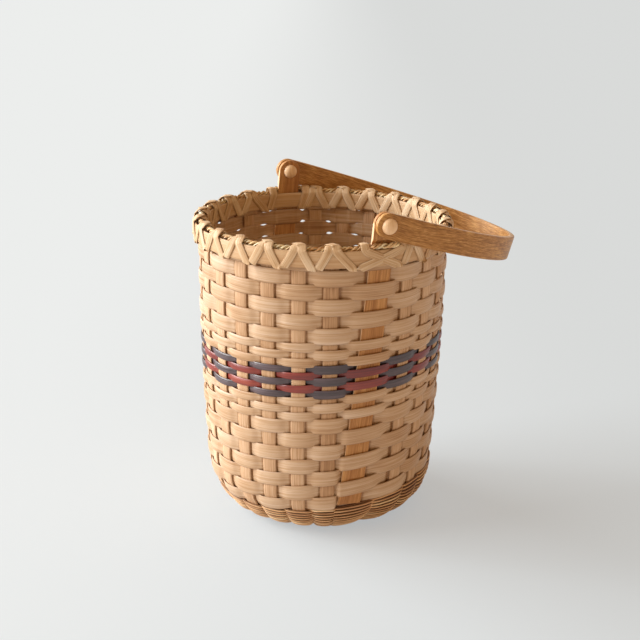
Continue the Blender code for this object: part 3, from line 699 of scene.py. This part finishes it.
# A stake is a flattened ring carried down the wall, round the corner and in along the floor,
# where its width shrinks evenly to the tip's. Below the rows, among the twined strands, it is
# painted darker, as shade in the gaps between the strands.
def stake(number, index):
    random = np.random.default_rng(stakeShape["seed"] + number)
    travel = np.linspace(stakeShape["top"], footEnd, stakeShape["steps"])[:, None]
    across, out, edge = sectionRing(stakeShape)
    narrowing = np.clip((travel - cornerEnd) / (footEnd - cornerEnd), 0, 1)
    half = uprights["stakeWidth"] / 2 * (1 + random.normal(0, stakeShape["sizeSpread"]))
    half = half + narrowing * (uprights["stakeTipWidth"] / 2 - half)
    centre = uprightCentres(0)[index]
    aside = across * half + wander(random, travel, *stakeShape["wander"]) * (1 - narrowing)
    angle = centre + aside / radiusAt(travel)
    offset = out * uprights["stakeThickness"] / 2 + stakeShape["crown"] * (1 - across ** 2)
    points = onWall(angle, travel, offset + stakeBow(travel, centre, index))
    fibres = fibrePlaces(travel, across * half, stakeShape["patternStep"], number)
    # Painted shade below the rows, easing in over the covered ease.
    twinedShadeShare = np.clip((travel - tilted(rowsEnd, centre)) / stakeShape["coveredEase"], 0, 1)
    tone = stakeShape["tone"] + random.normal(0, stakeShape["toneSpread"])
    tone = tone + stakeShape["coveredPaintedShade"] * twinedShadeShare
    part = gridPart(points, fibres, edge, tone)
    return addPiece(f"stake{number:02d}", [part], stakeReed, capped=True)


number = 0
for index in range(uprights["count"]):
    if not isEar(index):
        number += 1
        place(stake(number, index), f"stake_{number:02d}")
print("stakes made")

twining = {
    "seed": 500,
    "rows": 26,
    "steps": 312,
    "around": 8,
    "diameter": 2.0 * mm,
    "gap": 0.2 * mm,
    "offset": 1.6 * mm,
    "snap": 3.2,
    "bow": 2.2 * mm,
    "bowEase": 14 * mm,
    "twist": 0.34,
    "edgeShare": 0.228,
    "shift": 0.12 * mm,
    "settleRows": 3,
    "tone": 0.5,
    # Painted shade on the stretches of a strand that pass inside the stakes.
    "behindPaintedShade": -0.7,
    "toneSpread": 0.12,
    "patternSpread": 5,  # in metres
    "coilTurns": 15,
    "coilSteps": 44,
    "coilGap": 1 * mm,
    "coilPower": 0.98,
    "coilWander": (40, 0.2),  # in radians of its turns, then in tone
}


# A round strand: a circle carried along a path, given each path point's frame. Its edge value is
# the size of the turn's sine, so the sides that meet its neighbours are painted dark, as shade
# between the strands.
def roundStrand(centre, outWay, sideWay, radius, around, along, tone):
    turn = np.linspace(0, fullTurn, around + 1)
    circle = np.cos(turn)[None, :, None] * outWay[:, None] + np.sin(turn)[None, :, None] * sideWay[:, None]
    points = centre[:, None] + radius * circle
    points[:, -1] = points[:, 0]
    fibres = fibrePlaces(along[:, None], turn * radius)
    return gridPart(points, fibres, np.abs(np.sin(turn))[None, :], tone[:, None])


# One strand of a twined row. Its distance out is a squared-off cosine of the upright count, and
# it passes above or below its partner as a sine, so the two wind round each other. Inside the
# stakes it is painted darker, as shade behind the stakes, and half a row lower, where it shows
# in the gaps between the outer strands. Over the last rows these shifts fade out. It bows out
# over the stakes where the wall turns under, by twice the product of how far out and how far
# down the wall faces.
def twinedStrand(level, sign, random):
    share = level / (twining["rows"] - 1)
    below = twining["gap"] + twining["diameter"] / 2
    middle = (rowsEnd + below) * (1 - share) + footEnd * share
    centres = uprightCentres(middle)
    order = sign * (-1) ** level
    start = centres[-1] - fullTurn if order > 0 else centres[0]
    angle = np.linspace(start, start + fullTurn, twining["steps"] + 1)
    travel = (tilted(rowsEnd, angle) + below) * (1 - share) + footEnd * share
    count = weaveCount(angle, middle, twining["edgeShare"])
    wave = order * np.cos(math.pi * count)
    swing = squaredOff(wave, twining["snap"])
    twist = twining["twist"] * twining["diameter"] * order * np.sin(math.pi * count)
    shift = perUpright(random, count, twining["shift"])
    if level == 0:
        shift = 0 * shift  # the first strand keeps to the last row's foot
    pitch = (footEnd - rowsEnd) / (twining["rows"] - 1)
    stagger = pitch / 4 * (1 - swing)
    settle = np.clip((footEnd - travel) / (twining["settleRows"] * pitch), 0, 1)
    outward, upward = facingAt(travel)
    bow = twining["bow"] * -2 * outward * upward * np.clip(wave, 0, 1)
    bow = bow * np.clip((travel - tilted(rowsEnd, angle)) / twining["bowEase"], 0, 1)
    centre = onWall(angle, travel + (twist + shift + stagger) * settle, twining["offset"] * swing + bow)
    centre[-1] = centre[0]
    forward = np.gradient(centre, axis=0)
    forward[0] = forward[-1] = forward[0] + forward[-1]
    forward = unit(forward)
    sideWay = unit(np.cross(forward, atAngle(angle, outward, upward)))
    outWay = np.cross(sideWay, forward)
    tone = twining["tone"] + random.normal(0, twining["toneSpread"])
    tone = tone + perUpright(random, count, twining["toneSpread"])
    # Painted shade where the strand passes inside the stakes.
    tone = tone + twining["behindPaintedShade"] * np.clip(-swing, 0, 1)
    along = angle * wall["radius"] + random.uniform(0, twining["patternSpread"])
    return roundStrand(centre, outWay, sideWay, twining["diameter"] / 2, twining["around"], along, tone)


# The middle of the floor is a flat coil: its radius is in proportion to the turns that are left,
# to a power just below one.
def floorCoil(side, random):
    steps = twining["coilTurns"] * twining["coilSteps"]
    turn = np.linspace(0, fullTurn * twining["coilTurns"], steps + 1)
    left = (1 - turn / turn[-1]) ** twining["coilPower"]
    radius = (wall["footRadius"] - twining["coilGap"]) * left + twining["diameter"] / 4
    centre = atAngle(turn, radius, wall["floorHeight"] - side * twining["offset"])
    tone = twining["tone"] + wander(random, turn, *twining["coilWander"])
    along = np.cumsum(radius) * fullTurn / twining["coilSteps"]
    return roundStrand(centre, atAngle(turn, 0, -side), atAngle(turn, 1, 0), twining["diameter"] / 2,
                       twining["around"], along, tone)


for sign, title in ((1, "outer"), (-1, "inner")):
    random = np.random.default_rng(twining["seed"] + sign)
    strands = [twinedStrand(level, sign, random) for level in range(twining["rows"])]
    base = addPiece(f"{title}TwiningStrands", strands + [floorCoil(sign, random)], roundReed)
    closeEnds(base)
    place(base, f"base_{title}_twining")
print("twined base made")

bands = {
    "seeds": {"outer": 11, "inner": 12},
    "steps": 320,
    "around": 14,
    "squareness": 0.5,
    "fullness": 0.75,
    "flatness": 0.9,
    "crown": 0.25 * mm,
    "wander": (fullTurn, 0.25 * mm),
    "tone": 0.55,
    "toneWander": (fullTurn, 0.08),
    "patternStep": (1000 * mm, 30 * mm),
}
bandRadius = {
    "outer": rim["outerBandOutside"] - rim["bandThickness"] / 2,
    "inner": rim["innerBandInside"] + rim["bandThickness"] / 2,
}


# A rim band is a flattened ring carried round at a fixed radius, with a slow wander up and down.
def rimBand(title, facing):
    seed, radius = bands["seeds"][title], bandRadius[title]
    random = np.random.default_rng(seed)
    angle = np.linspace(0, fullTurn, bands["steps"] + 1)[:, None]
    across, out, edge = sectionRing(bands)
    half = rim["bandHeight"] / 2
    middle = rim["bandDrop"] + half + wander(random, angle, *bands["wander"])
    rise = out * rim["bandThickness"] / 2 * bands["flatness"] + bands["crown"] * (1 - across ** 2) / 2
    points = atAngle(angle, radius + facing * rise, rimHeight - middle - across * half)
    points[-1] = points[0]
    fibres = fibrePlaces(angle * radius, across * half, bands["patternStep"], seed)
    tone = bands["tone"] + wander(random, angle, *bands["toneWander"])
    return addPiece(f"{title}RimBand", [gridPart(points, fibres, edge, tone)], bandReed)


place(rimBand("outer", 1), "rim_outer_band")
place(rimBand("inner", -1), "rim_inner_band")

rope = {
    "seed": 700,
    "steps": 900,
    "around": 8,
    "strands": 3,
    "turns": 48,
    "strandShare": 0.464,
    "overlap": 1.06,
    "leastSine": 0.5,  # keeps the line past the ears from running off between them
    "liftSpeed": 2,  # up against out
    "twistWander": (fullTurn, 0.6),
    "tone": 0.5,
    "toneWander": (fullTurn / 5, 0.25),
}
earAngles = uprightCentres(0)[earIndices]


# Middle of the rope at an angle: between the bands, and beside an ear it rises over the outer
# band and runs straight past the ear's outer face.
def ropeCentre(angle):
    nearest = np.min([np.abs(turnBetween(ear, angle)) for ear in earAngles], axis=0)
    beyond = nearest * wall["radius"] - uprights["earWidth"] / 2 - rim["clearance"]
    closeness = eased(np.clip(1 - beyond / rim["ropeFade"], 0, 1))
    pastEar = wall["radius"] + uprights["earThickness"] / 2 + rim["clearance"] + rim["rope"] / 2
    sine = np.maximum(np.abs(np.sin(angle)), rope["leastSine"])
    radius = wall["radius"] + closeness * (pastEar / sine - wall["radius"])
    return radius, rim["rope"] / 2 - np.minimum(1, rope["liftSpeed"] * closeness) * rim["ropeLift"]


# Each strand's middle circles the rope's middle once a turn of the twist. The strands are drawn
# a little thick, so that they press into each other.
def ropeStrand(order, random):
    angle = np.linspace(0, fullTurn, rope["steps"] + 1)
    radius, depth = ropeCentre(angle)
    outWay, upWay = atAngle(angle, 1, 0), atAngle(angle, 0, 1)
    strand = rim["rope"] / 2 * rope["strandShare"]
    circling = rim["rope"] / 2 - strand
    twist = rope["turns"] * angle + order * fullTurn / rope["strands"]
    twist = twist + wander(random, angle, *rope["twistWander"])
    middle = atAngle(angle, radius, rimHeight - depth)
    centre = middle + circling * (np.cos(twist)[:, None] * outWay + np.sin(twist)[:, None] * upWay)
    centre[-1] = centre[0]
    tone = rope["tone"] + wander(random, angle, *rope["toneWander"])
    return roundStrand(centre, outWay, upWay, strand * rope["overlap"], rope["around"],
                       angle * wall["radius"], tone)


random = np.random.default_rng(rope["seed"])
ropePiece = addPiece("rimRope", [ropeStrand(order, random) for order in range(rope["strands"])], seagrass)
place(ropePiece, "rim_filler")

lashing = {
    "seeds": {"Under": 21, "Over": 22},
    "width": 6.8 * mm,
    "thickness": 0.9 * mm,
    "standOff": 0.1 * mm,
    "spread": 2.6 * mm,
    "holeSpread": 2.2 * mm,
    "halfAtEar": 2.2 * mm,  # half its width there
    "earGap": 3.6 * mm,
    "earEase": 0.7 * mm,
    "climbs": 3,  # bends up the outer band
    "climbsAtEar": 5,
    "step": 2.2 * mm,
    "rounds": 3,
    "cut": 0.25,  # share of a stretch cut off at each end
    "around": 12,
    "squareness": 0.55,
    "fullness": 0.8,
    "crown": 0.3 * mm,
    "widthWander": (60 * mm, 0.05),
    "tone": 0.52,
    "toneWander": (90 * mm, 0.12),
    "patternStep": (300 * mm, 10 * mm),
}


# Middle of the gap below the rim between an upright and the next one.
def holeAngle(index):
    travel = rim["bandDrop"] + rim["bandHeight"]
    centres = uprightCentres(travel)
    halves = uprightHalf / radiusAt(travel)
    before, after = index % uprights["count"], (index + 1) % uprights["count"]
    start = centres[before] + halves[before]
    return start + ((centres[after] - halves[after] - start) % fullTurn) / 2


# One loop of a lashing: under the rim, up outside it, over the top and down inside. Each bend
# is (angle, radius, depth, how far out and how far up the strip faces).
def lashingLoop(index, direction, layer):
    clearance, thickness = rim["clearance"], lashing["thickness"]
    lift = lashing["standOff"] + thickness / 2
    over = lift + layer * (thickness + lashing["standOff"])
    intoHole = direction * lashing["holeSpread"] / wall["radius"]
    ear = isEar(index)
    top = uprightCentres(0)[index % uprights["count"]]
    start = top + turnBetween(top, holeAngle(index - 1 if direction > 0 else index))
    end = top + turnBetween(top, holeAngle(index if direction > 0 else index - 1))
    if ear:
        span = uprights["earWidth"] / 2 + lashing["halfAtEar"] + lashing["earGap"]
        first = last = top + direction * span / wall["radius"]
        crownLift, shoulder = lift, rim["bandDrop"]
    else:
        first = top - direction * lashing["spread"] / wall["radius"]
        last = 2 * top - first
        crownLift, shoulder = over, rim["bandDrop"] - 2 * clearance
    towardsEar = (lashing["halfAtEar"] + lashing["earEase"]) / wall["radius"]
    radius, depth = ropeCentre(np.array([first - direction * towardsEar]))
    radius, depth = float(radius[0]), float(depth[0])
    crown = depth - rim["rope"] / 2 - crownLift
    inside, outside = rim["innerBandInside"], rim["outerBandOutside"]
    bottom = rim["bandDrop"] + rim["bandHeight"]
    corner = clearance + (over - lift) / 2
    loop = [(start - intoHole, inside - corner, bottom + over, 0, -1),
            (start + intoHole, outside + corner, bottom + over, 0, -1)]
    for share in np.linspace(0, 1, lashing["climbsAtEar"] if ear else lashing["climbs"])[:-1]:
        angle = start + intoHole + share * (first - start - intoHole)
        loop.append((angle, outside + lift, bottom - share * rim["bandHeight"], 1, 0))
    return loop + [(first, outside + lift, shoulder, 1, 0),
                   (first, radius + rim["rope"] / 2, crown, 0, 1),
                   (last, radius - rim["rope"] / 2, crown, 0, 1),
                   (last, inside - lift, rim["bandDrop"], -1, 0),
                   (end - intoHole, inside - lift, bottom, -1, 0)]


# Points at even steps along a path of bends, then the corners cut round by round: each
# straight stretch keeps its middle half.
def softened(values, distance):
    even = np.linspace(0, distance[-1], int(distance[-1] / lashing["step"]) + 1)
    values = valuesAlong(even, distance, values)
    cut = lashing["cut"]
    for _ in range(lashing["rounds"]):
        near = values[:-1] * (1 - cut) + values[1:] * cut
        far = values[:-1] * cut + values[1:] * (1 - cut)
        middle = np.stack([near, far], axis=1).reshape(-1, 3)
        values = np.concatenate([values[:1], middle, values[-1:]])
    return values


# A lashing is a flattened ring carried along the softened bends, its width square to the path
# and to the way the strip faces.
def lashingStrip(title, direction, layer):
    seed = lashing["seeds"][title]
    random = np.random.default_rng(seed)
    bends = []
    for count in range(uprights["count"]):
        bends += lashingLoop(1 + direction * count, direction, layer)
    angle, radius, depth, out, up = np.array(bends[1:]).T
    bendPoints = atAngle(angle, radius, rimHeight - depth)
    distance = distanceAlong(bendPoints)
    centre = softened(bendPoints, distance)
    forward = np.gradient(centre, axis=0)
    widthWay = unit(np.cross(softened(atAngle(angle, out, up), distance), forward))
    outWay = unit(np.cross(forward, widthWay))
    along = np.linspace(0, distance[-1], len(centre))[:, None]
    across, rise, edge = sectionRing(lashing)
    half = lashing["width"] / 2 * (1 + wander(random, along, *lashing["widthWander"]))
    lift = rise * lashing["thickness"] / 2 + lashing["crown"] * (1 - across ** 2) - lashing["crown"] / 2
    points = centre[:, None] + (across * half)[:, :, None] * widthWay[:, None]
    points = points + lift[:, :, None] * outWay[:, None]
    fibres = fibrePlaces(along, across * half, lashing["patternStep"], seed)
    tone = lashing["tone"] + wander(random, along, *lashing["toneWander"])
    part = gridPart(points, fibres, edge, tone)
    return addPiece(f"lashing{title}", [part], lashingReed, capped=True)


place(lashingStrip("Under", 1, 0), "rim_lashing_under")
place(lashingStrip("Over", -1, 1), "rim_lashing_over")
print("rim made")

pivot = {
    "height": 15 * mm,
    "pegRadius": 3 * mm,
    "holeRadius": 3.4 * mm,
    "earOutside": 98.95 * mm,
    "earHead": 3.4 * mm,
    "handleInside": 100.25 * mm,
    "handleGap": 1.3 * mm,
    "sides": 48,
    "drillLength": 300 * mm,
    "cornerAngle": math.radians(50),
}
pivotX = uprights["leanAtRim"] + uprights["lean"] * pivot["height"]
pivotZ = rimHeight + pivot["height"]

boards = {
    "faceInset": 0.5,
    "roundingInset": 1.8,
    "edgeSteps": 5,
    "endSteps": 17,
    "wornWidth": 0.5 * mm,
    "fibreDepth": 2 * mm,
}


# Section of a board with rounded edges, as pairs (inset from the outline, share of the
# thickness out), from the middle of its front face round one edge to the middle of its back.
def boardEdge(thickness, rounding, halfWidth):
    turn = np.linspace(0, math.pi / 2, boards["edgeSteps"])
    face = [halfWidth * boards["faceInset"], rounding * boards["roundingInset"]]
    inset = np.concatenate([face, rounding * (1 - np.sin(turn))])
    out = np.concatenate([[1, 1], 1 - (1 - np.cos(turn)) * rounding / (thickness / 2)])
    return np.concatenate([inset, inset[::-1]]), np.concatenate([out, -out[::-1]])


# A board's flat layout: how far along and across each point lies. Straight stretches step
# along; round ends step through a quarter turn of the half width less the point's inset.
def boardLayout(starts, length, half, roundStart, roundEnd, edge):
    inset, out = edge
    inset, out = np.concatenate([inset, inset[::-1]]), np.concatenate([out, out[::-1]])
    side = np.concatenate([np.ones(len(edge[0])), -np.ones(len(edge[0]))])
    turn = np.linspace(0, math.pi / 2, boards["endSteps"])[1:]
    straight = starts[:, None] + 0 * inset
    wide = half - inset
    pieces = [(straight, wide + 0 * straight)]
    if roundStart:
        pieces.insert(0, (-np.sin(turn[::-1])[:, None] * wide, np.cos(turn[::-1])[:, None] * wide))
    if roundEnd:
        pieces.append((length + np.sin(turn)[:, None] * wide, np.cos(turn)[:, None] * wide))
    along = np.concatenate([pair[0] for pair in pieces])
    across = np.concatenate([pair[1] for pair in pieces]) * side
    loop = np.append(np.arange(len(side)), 0)
    return along[:, loop], across[:, loop], (out + 0 * across)[:, loop]


# How worn a board is: nothing on its faces, and full at its outline, over the last worn width.
def wornEdge(across, half):
    return np.clip(1 + (np.abs(across) - half) / boards["wornWidth"], 0, 1)


# Shades a piece smooth but for its corners.
def keepCorners(made):
    made.data.shade_smooth()
    made.data.set_sharp_from_angle(angle=pivot["cornerAngle"])


# Cuts the peg's hole through a board and keeps the result as its mesh.
def boreForPeg(made):
    bpy.ops.mesh.primitive_cylinder_add(vertices=pivot["sides"], radius=pivot["holeRadius"],
                                        depth=pivot["drillLength"], location=(pivotX, 0, pivotZ),
                                        rotation=(math.pi / 2, 0, 0))
    bar = bpy.context.object
    hole = made.modifiers.new("Peg hole", "BOOLEAN")
    hole.operation = "DIFFERENCE"
    hole.solver = "EXACT"
    hole.object = bar
    bored = bpy.data.meshes.new_from_object(made.evaluated_get(bpy.context.evaluated_depsgraph_get()))
    made.modifiers.clear()
    made.data = bored
    bpy.data.objects.remove(bar)
    keepCorners(made)


ears = {
    "rounding": 0.5 * mm,
    "neck": 2.3 * mm,
    "swell": 2.5 * mm,
    "legTop": 7.3 * mm,
    "legSteps": 90,
    "headSteps": (3, 7, 5),  # on the neck, the swell and the head above it
    "tone": 0.45,
    "patterns": {"front": 31, "back": 32},
    "patternStep": (300 * mm, 50 * mm),
}


# An ear is a board laid along a centre line: up the wall as a woven-in leg, then straight up,
# where it steps outward and thickens below its round head.
def ear(side, index):
    facing = 1 if index else -1
    half = uprights["earWidth"] / 2
    foot = tilted(rowsEnd, -math.pi / 2) - rim["clearance"]
    legTravel = np.linspace(foot, ears["legTop"], ears["legSteps"])
    turned = np.arcsin((uprights["leanAtRim"] - uprights["lean"] * legTravel) / radiusAt(legTravel))
    leg = onWall(facing * (math.pi / 2 - turned), legTravel, 0)
    legSideWay = np.stack([np.cos(turned), -facing * np.sin(turned), 0 * turned], axis=-1)
    rises = [0, ears["neck"], ears["neck"] + ears["swell"], pivot["height"]]
    stretches = zip(rises[:-1], rises[1:], ears["headSteps"])
    fine = np.concatenate([[0]] + [np.linspace(low, high, steps)[1:] for low, high, steps in stretches])
    smooth = eased(np.clip((fine - ears["neck"]) / ears["swell"], 0, 1))
    headOut = pivot["earOutside"] - pivot["earHead"] / 2
    outward = wall["radius"] + smooth * (headOut - wall["radius"])
    leans = uprights["leanAtRim"] + uprights["lean"] * fine
    head = np.stack([leans, facing * outward, rimHeight + fine], axis=-1)
    headThick = uprights["earThickness"] + smooth * (pivot["earHead"] - uprights["earThickness"])
    centre = np.concatenate([leg, head])
    sideWay = np.concatenate([legSideWay, np.tile([1.0, 0, 0], (len(fine), 1))])
    thick = np.concatenate([np.full(len(legTravel), uprights["earThickness"]), headThick])
    distance = distanceAlong(centre)
    length = distance[-1]
    edge = boardEdge(uprights["earThickness"], ears["rounding"], half)
    along, across, out = boardLayout(distance, length, half, False, True, edge)
    held = np.minimum(along, length)
    outWay = unit(np.cross(sideWay, np.gradient(centre, distance, axis=0)) * -facing)
    outWay[-1] = (0, facing, 0)
    standing = (out * np.interp(held, distance, thick) / 2)[..., None]
    points = valuesAlong(held, distance, centre) + valuesAlong(held, distance, sideWay) * across[..., None]
    points = points + valuesAlong(held, distance, outWay) * standing
    points[..., 2] += np.maximum(along - length, 0)
    fibres = fibrePlaces(along, across + out * boards["fibreDepth"], ears["patternStep"],
                         ears["patterns"][side])
    part = gridPart(points, fibres, wornEdge(across, half), ears["tone"])
    made = addPiece(f"{side}Ear", [part], earWood)
    closeEnds(made)
    boreForPeg(made)
    return made


for side, index in (("front", 0), ("back", halfCount)):
    place(ear(side, index), f"ear_{side}")

handle = {
    "seed": 60,
    "reach": 156.5 * mm,
    "thickness": 4.5 * mm,
    "width": 19.05 * mm,
    "rounding": 0.9 * mm,
    "droop": math.radians(17.5),
    "steps": 140,
    "fineSteps": 4000,
    "grainWander": (300 * mm, 2 * mm),
    "tone": 0.5,
    "toneWander": (200 * mm, 0.12),
}


# The handle is a board bent to half an ellipse in plan, straight past its pegs and tipped down
# about their axis.
def handleBow():
    halfSpan = pivot["handleInside"] + handle["thickness"] / 2
    turn = np.linspace(-math.pi / 2, math.pi / 2, handle["fineSteps"])
    distance = distanceAlong(np.stack([handle["reach"] * np.cos(turn), halfSpan * np.sin(turn)], axis=1))
    length = distance[-1]
    half = handle["width"] / 2
    edge = boardEdge(handle["thickness"], handle["rounding"], half)
    starts = np.linspace(0, length, handle["steps"])
    along, across, out = boardLayout(starts, length, half, True, True, edge)
    held = np.clip(along, 0, length)
    turns = np.interp(held, distance, turn)
    outX, outY = halfSpan * np.cos(turns), handle["reach"] * np.sin(turns)
    thick = out * handle["thickness"] / 2 / np.hypot(outX, outY)
    x = handle["reach"] * np.cos(turns) - np.abs(along - held) + outX * thick
    y = halfSpan * np.sin(turns) + outY * thick
    cosine, sine = math.cos(handle["droop"]), math.sin(handle["droop"])
    points = np.stack([pivotX + x * cosine + across * sine, y,
                       pivotZ - x * sine + across * cosine], axis=-1)
    random = np.random.default_rng(handle["seed"])
    aside = across + out * boards["fibreDepth"] + wander(random, along, *handle["grainWander"])
    tone = handle["tone"] + wander(random, along, *handle["toneWander"])
    part = gridPart(points, fibrePlaces(along, aside), wornEdge(across, half), tone)
    made = addPiece("handleBow", [part], handleWood)
    boreForPeg(made)
    return made


place(handleBow(), "handle", "handle")

pegs = {
    "headRadius": 6 * mm,
    "headHeight": 4.2 * mm,
    "stub": 2 * mm,
    "capRadius": 5.7 * mm,
    "capHeight": 4.6 * mm,
    "domeSteps": 13,
    "tone": 0.5,
    "grainShare": 0.5,  # of the distance out, so that the grain turns with the dome
    "pegPattern": 3,
    "capPattern": 5,
    "patternStep": (100 * mm, 30 * mm),
}


# A turned piece: a profile of radius and distance out, carried round the handle's axis.
def turnedPiece(name, profile, facing, seat, number):
    radius, outward = np.array(profile).T
    turn = np.linspace(0, fullTurn, pivot["sides"] + 1)[:, None]
    points = np.stack([pivotX + radius * np.cos(turn), seat + facing * outward + 0 * turn,
                       pivotZ + radius * np.sin(turn)], axis=-1)
    points[-1] = points[0]
    aside = points[..., 0] + outward * pegs["grainShare"]
    fibres = fibrePlaces(points[..., 2], aside, pegs["patternStep"], number)
    made = addPiece(name, [gridPart(points, fibres, 0.0, pegs["tone"])], pegWood)
    keepCorners(made)
    return made


# Profile of a domed head: a quarter ellipse from its top to its rim.
def dome(radius, height):
    turn = np.linspace(0, math.pi / 2, pegs["domeSteps"])
    return [(radius * math.sin(step), height * math.cos(step)) for step in turn]


# A peg runs out of its head through the handle and the ear, and a cap with a socket holds it.
socketDepth = pegs["stub"] + rim["clearance"]
through = handle["thickness"] + pivot["handleGap"] + pivot["earHead"] + socketDepth
pegProfile = dome(pegs["headRadius"], pegs["headHeight"])
pegProfile += [(pivot["pegRadius"], 0), (pivot["pegRadius"], -through), (0, -through)]
pegSeat = pivot["handleInside"] + handle["thickness"] + rim["clearance"]
capProfile = dome(pegs["capRadius"], pegs["capHeight"])
capProfile += [(pivot["holeRadius"], 0), (pivot["holeRadius"], socketDepth), (0, socketDepth)]
capSeat = pivot["earOutside"] - pivot["earHead"] - rim["clearance"]
for side, facing in (("front", -1), ("back", 1)):
    peg = turnedPiece(f"{side}Peg", pegProfile, facing, facing * pegSeat, pegs["pegPattern"])
    place(peg, f"handle_peg_{side}")
    cap = turnedPiece(f"{side}Cap", capProfile, -facing, facing * capSeat, pegs["capPattern"])
    place(cap, f"peg_cap_{side}")
print("ears, handle and pegs made")

studio = {
    "floor": "#E9E9EA",
    "floorShade": "#99A4AB",
    "floorGlow": "#B8BBBD",
    "floorSize": 40,  # in metres
    # The floor the camera sees is painted dimmer away from the lights, as the light's fall-off: its
    # direction, then its span and strength.
    "fadeTurn": math.radians(-22.5),
    "floorPaintedDimming": (-0.35, 0.35, 0.02, 0.19),  # from and to in metres, then least and most
    "backdrop": "#E1E1E2",
    "fill": "#FFC989",
    "fillStrength": 0.44,
    "softAngle": math.radians(40),
}
# Two wide soft lights at the left of the view: azimuth and height in degrees, then strength.
softLights = {
    "key": (161, 22, 3.3),
    "side": (132, 22, 2.95),
}


# The largest of three values that are 1 for the rays that show the background: the camera's,
# and those that glossy and clear surfaces mirror or let through.
def seenRays(tree):
    rays = addNode(tree, "ShaderNodeLightPath", {}).node.outputs
    mirrored = addNode(tree, "ShaderNodeMath", {0: rays["Is Glossy Ray"], 1: rays["Is Transmission Ray"]},
                       operation="MAXIMUM")
    return addNode(tree, "ShaderNodeMath", {0: rays["Is Camera Ray"], 1: mirrored}, operation="MAXIMUM")


# The floor is matt white where light bounces off it. The camera sees a darker one under an even
# glow, as on a lit table, so the shadow is faint but stays where it falls, and both are painted
# dimmer away from the lights, as the light's fall-off.
def floorMaterial():
    made = bpy.data.materials.new("Painted_board_matt_white")
    made.use_nodes = True
    tree = made.node_tree
    tree.nodes.remove(tree.nodes["Principled BSDF"])
    white = addNode(tree, "ShaderNodeBsdfDiffuse", {"Color": hexColour(studio["floor"])})
    shade = addNode(tree, "ShaderNodeBsdfDiffuse", {"Color": hexColour(studio["floorShade"])})
    glow = addNode(tree, "ShaderNodeEmission", {"Color": hexColour(studio["floorGlow"])})
    lit = addNode(tree, "ShaderNodeAddShader", {0: shade, 1: glow})
    where = addNode(tree, "ShaderNodeTexCoord", {}).node.outputs["Object"]
    away = (math.cos(studio["fadeTurn"]), math.sin(studio["fadeTurn"]), 0)
    aside = addNode(tree, "ShaderNodeVectorMath", {0: where, 1: away},
                    operation="DOT_PRODUCT").node.outputs["Value"]
    start, end, least, most = studio["floorPaintedDimming"]
    dimmer = addNode(tree, "ShaderNodeMapRange", {"Value": aside, "From Min": start, "From Max": end,
                                                  "To Min": least, "To Max": most},
                     interpolation_type="SMOOTHSTEP")
    shown = addNode(tree, "ShaderNodeMixShader", {0: dimmer, 1: lit})
    choice = addNode(tree, "ShaderNodeMixShader", {0: seenRays(tree), 1: white, 2: shown})
    tree.links.new(choice, tree.nodes["Material Output"].inputs["Surface"])
    return made


bpy.ops.mesh.primitive_plane_add(size=studio["floorSize"])
floor = bpy.context.object
floor.name = "floor"
floor.data.materials.append(floorMaterial())

world = bpy.data.worlds.new("studio")
bpy.context.scene.world = world
world.use_nodes = True
tree = world.node_tree
light = addNode(tree, "ShaderNodeBackground", {"Color": hexColour(studio["fill"]),
                                               "Strength": studio["fillStrength"]})
shown = addNode(tree, "ShaderNodeBackground", {"Color": hexColour(studio["backdrop"]), "Strength": 1})
choice = addNode(tree, "ShaderNodeMixShader", {0: seenRays(tree), 1: light, 2: shown})
tree.links.new(choice, tree.nodes["World Output"].inputs["Surface"])

for name, (azimuth, height, strength) in softLights.items():
    lamp = bpy.data.objects.new(name, bpy.data.lights.new(name, "SUN"))
    lamp.data.energy = strength
    lamp.data.angle = studio["softAngle"]
    lamp.rotation_euler = (math.radians(90 - height), 0, math.radians(90 + azimuth))
    bpy.context.scene.collection.objects.link(lamp)

view = {
    "distance": 1025.5 * mm,
    "aside": -1.1 * mm,
    "height": 491.2 * mm,
    "azimuth": math.radians(-22.45),
    "pitch": math.radians(18.24),
    "roll": 0.017,  # in radians
    "lens": 75,
    "sensor": 36,
}
camera = bpy.data.objects.new("camera", bpy.data.cameras.new("camera"))
camera.data.lens = view["lens"]
camera.data.sensor_width = view["sensor"]
right = Vector((math.cos(view["azimuth"]), math.sin(view["azimuth"]), 0))
ahead = Vector((-math.sin(view["azimuth"]), math.cos(view["azimuth"]), 0))
spot = right * view["aside"] - ahead * view["distance"] + Vector((0, 0, view["height"]))
aim = Euler((math.pi / 2 - view["pitch"], 0, view["azimuth"])).to_matrix().to_4x4()
camera.matrix_world = Matrix.Translation(spot) @ aim @ Matrix.Rotation(view["roll"], 4, "Z")
bpy.context.scene.collection.objects.link(camera)
bpy.context.scene.camera = camera
bpy.context.scene.view_settings.view_transform = "Standard"
print("stage made")
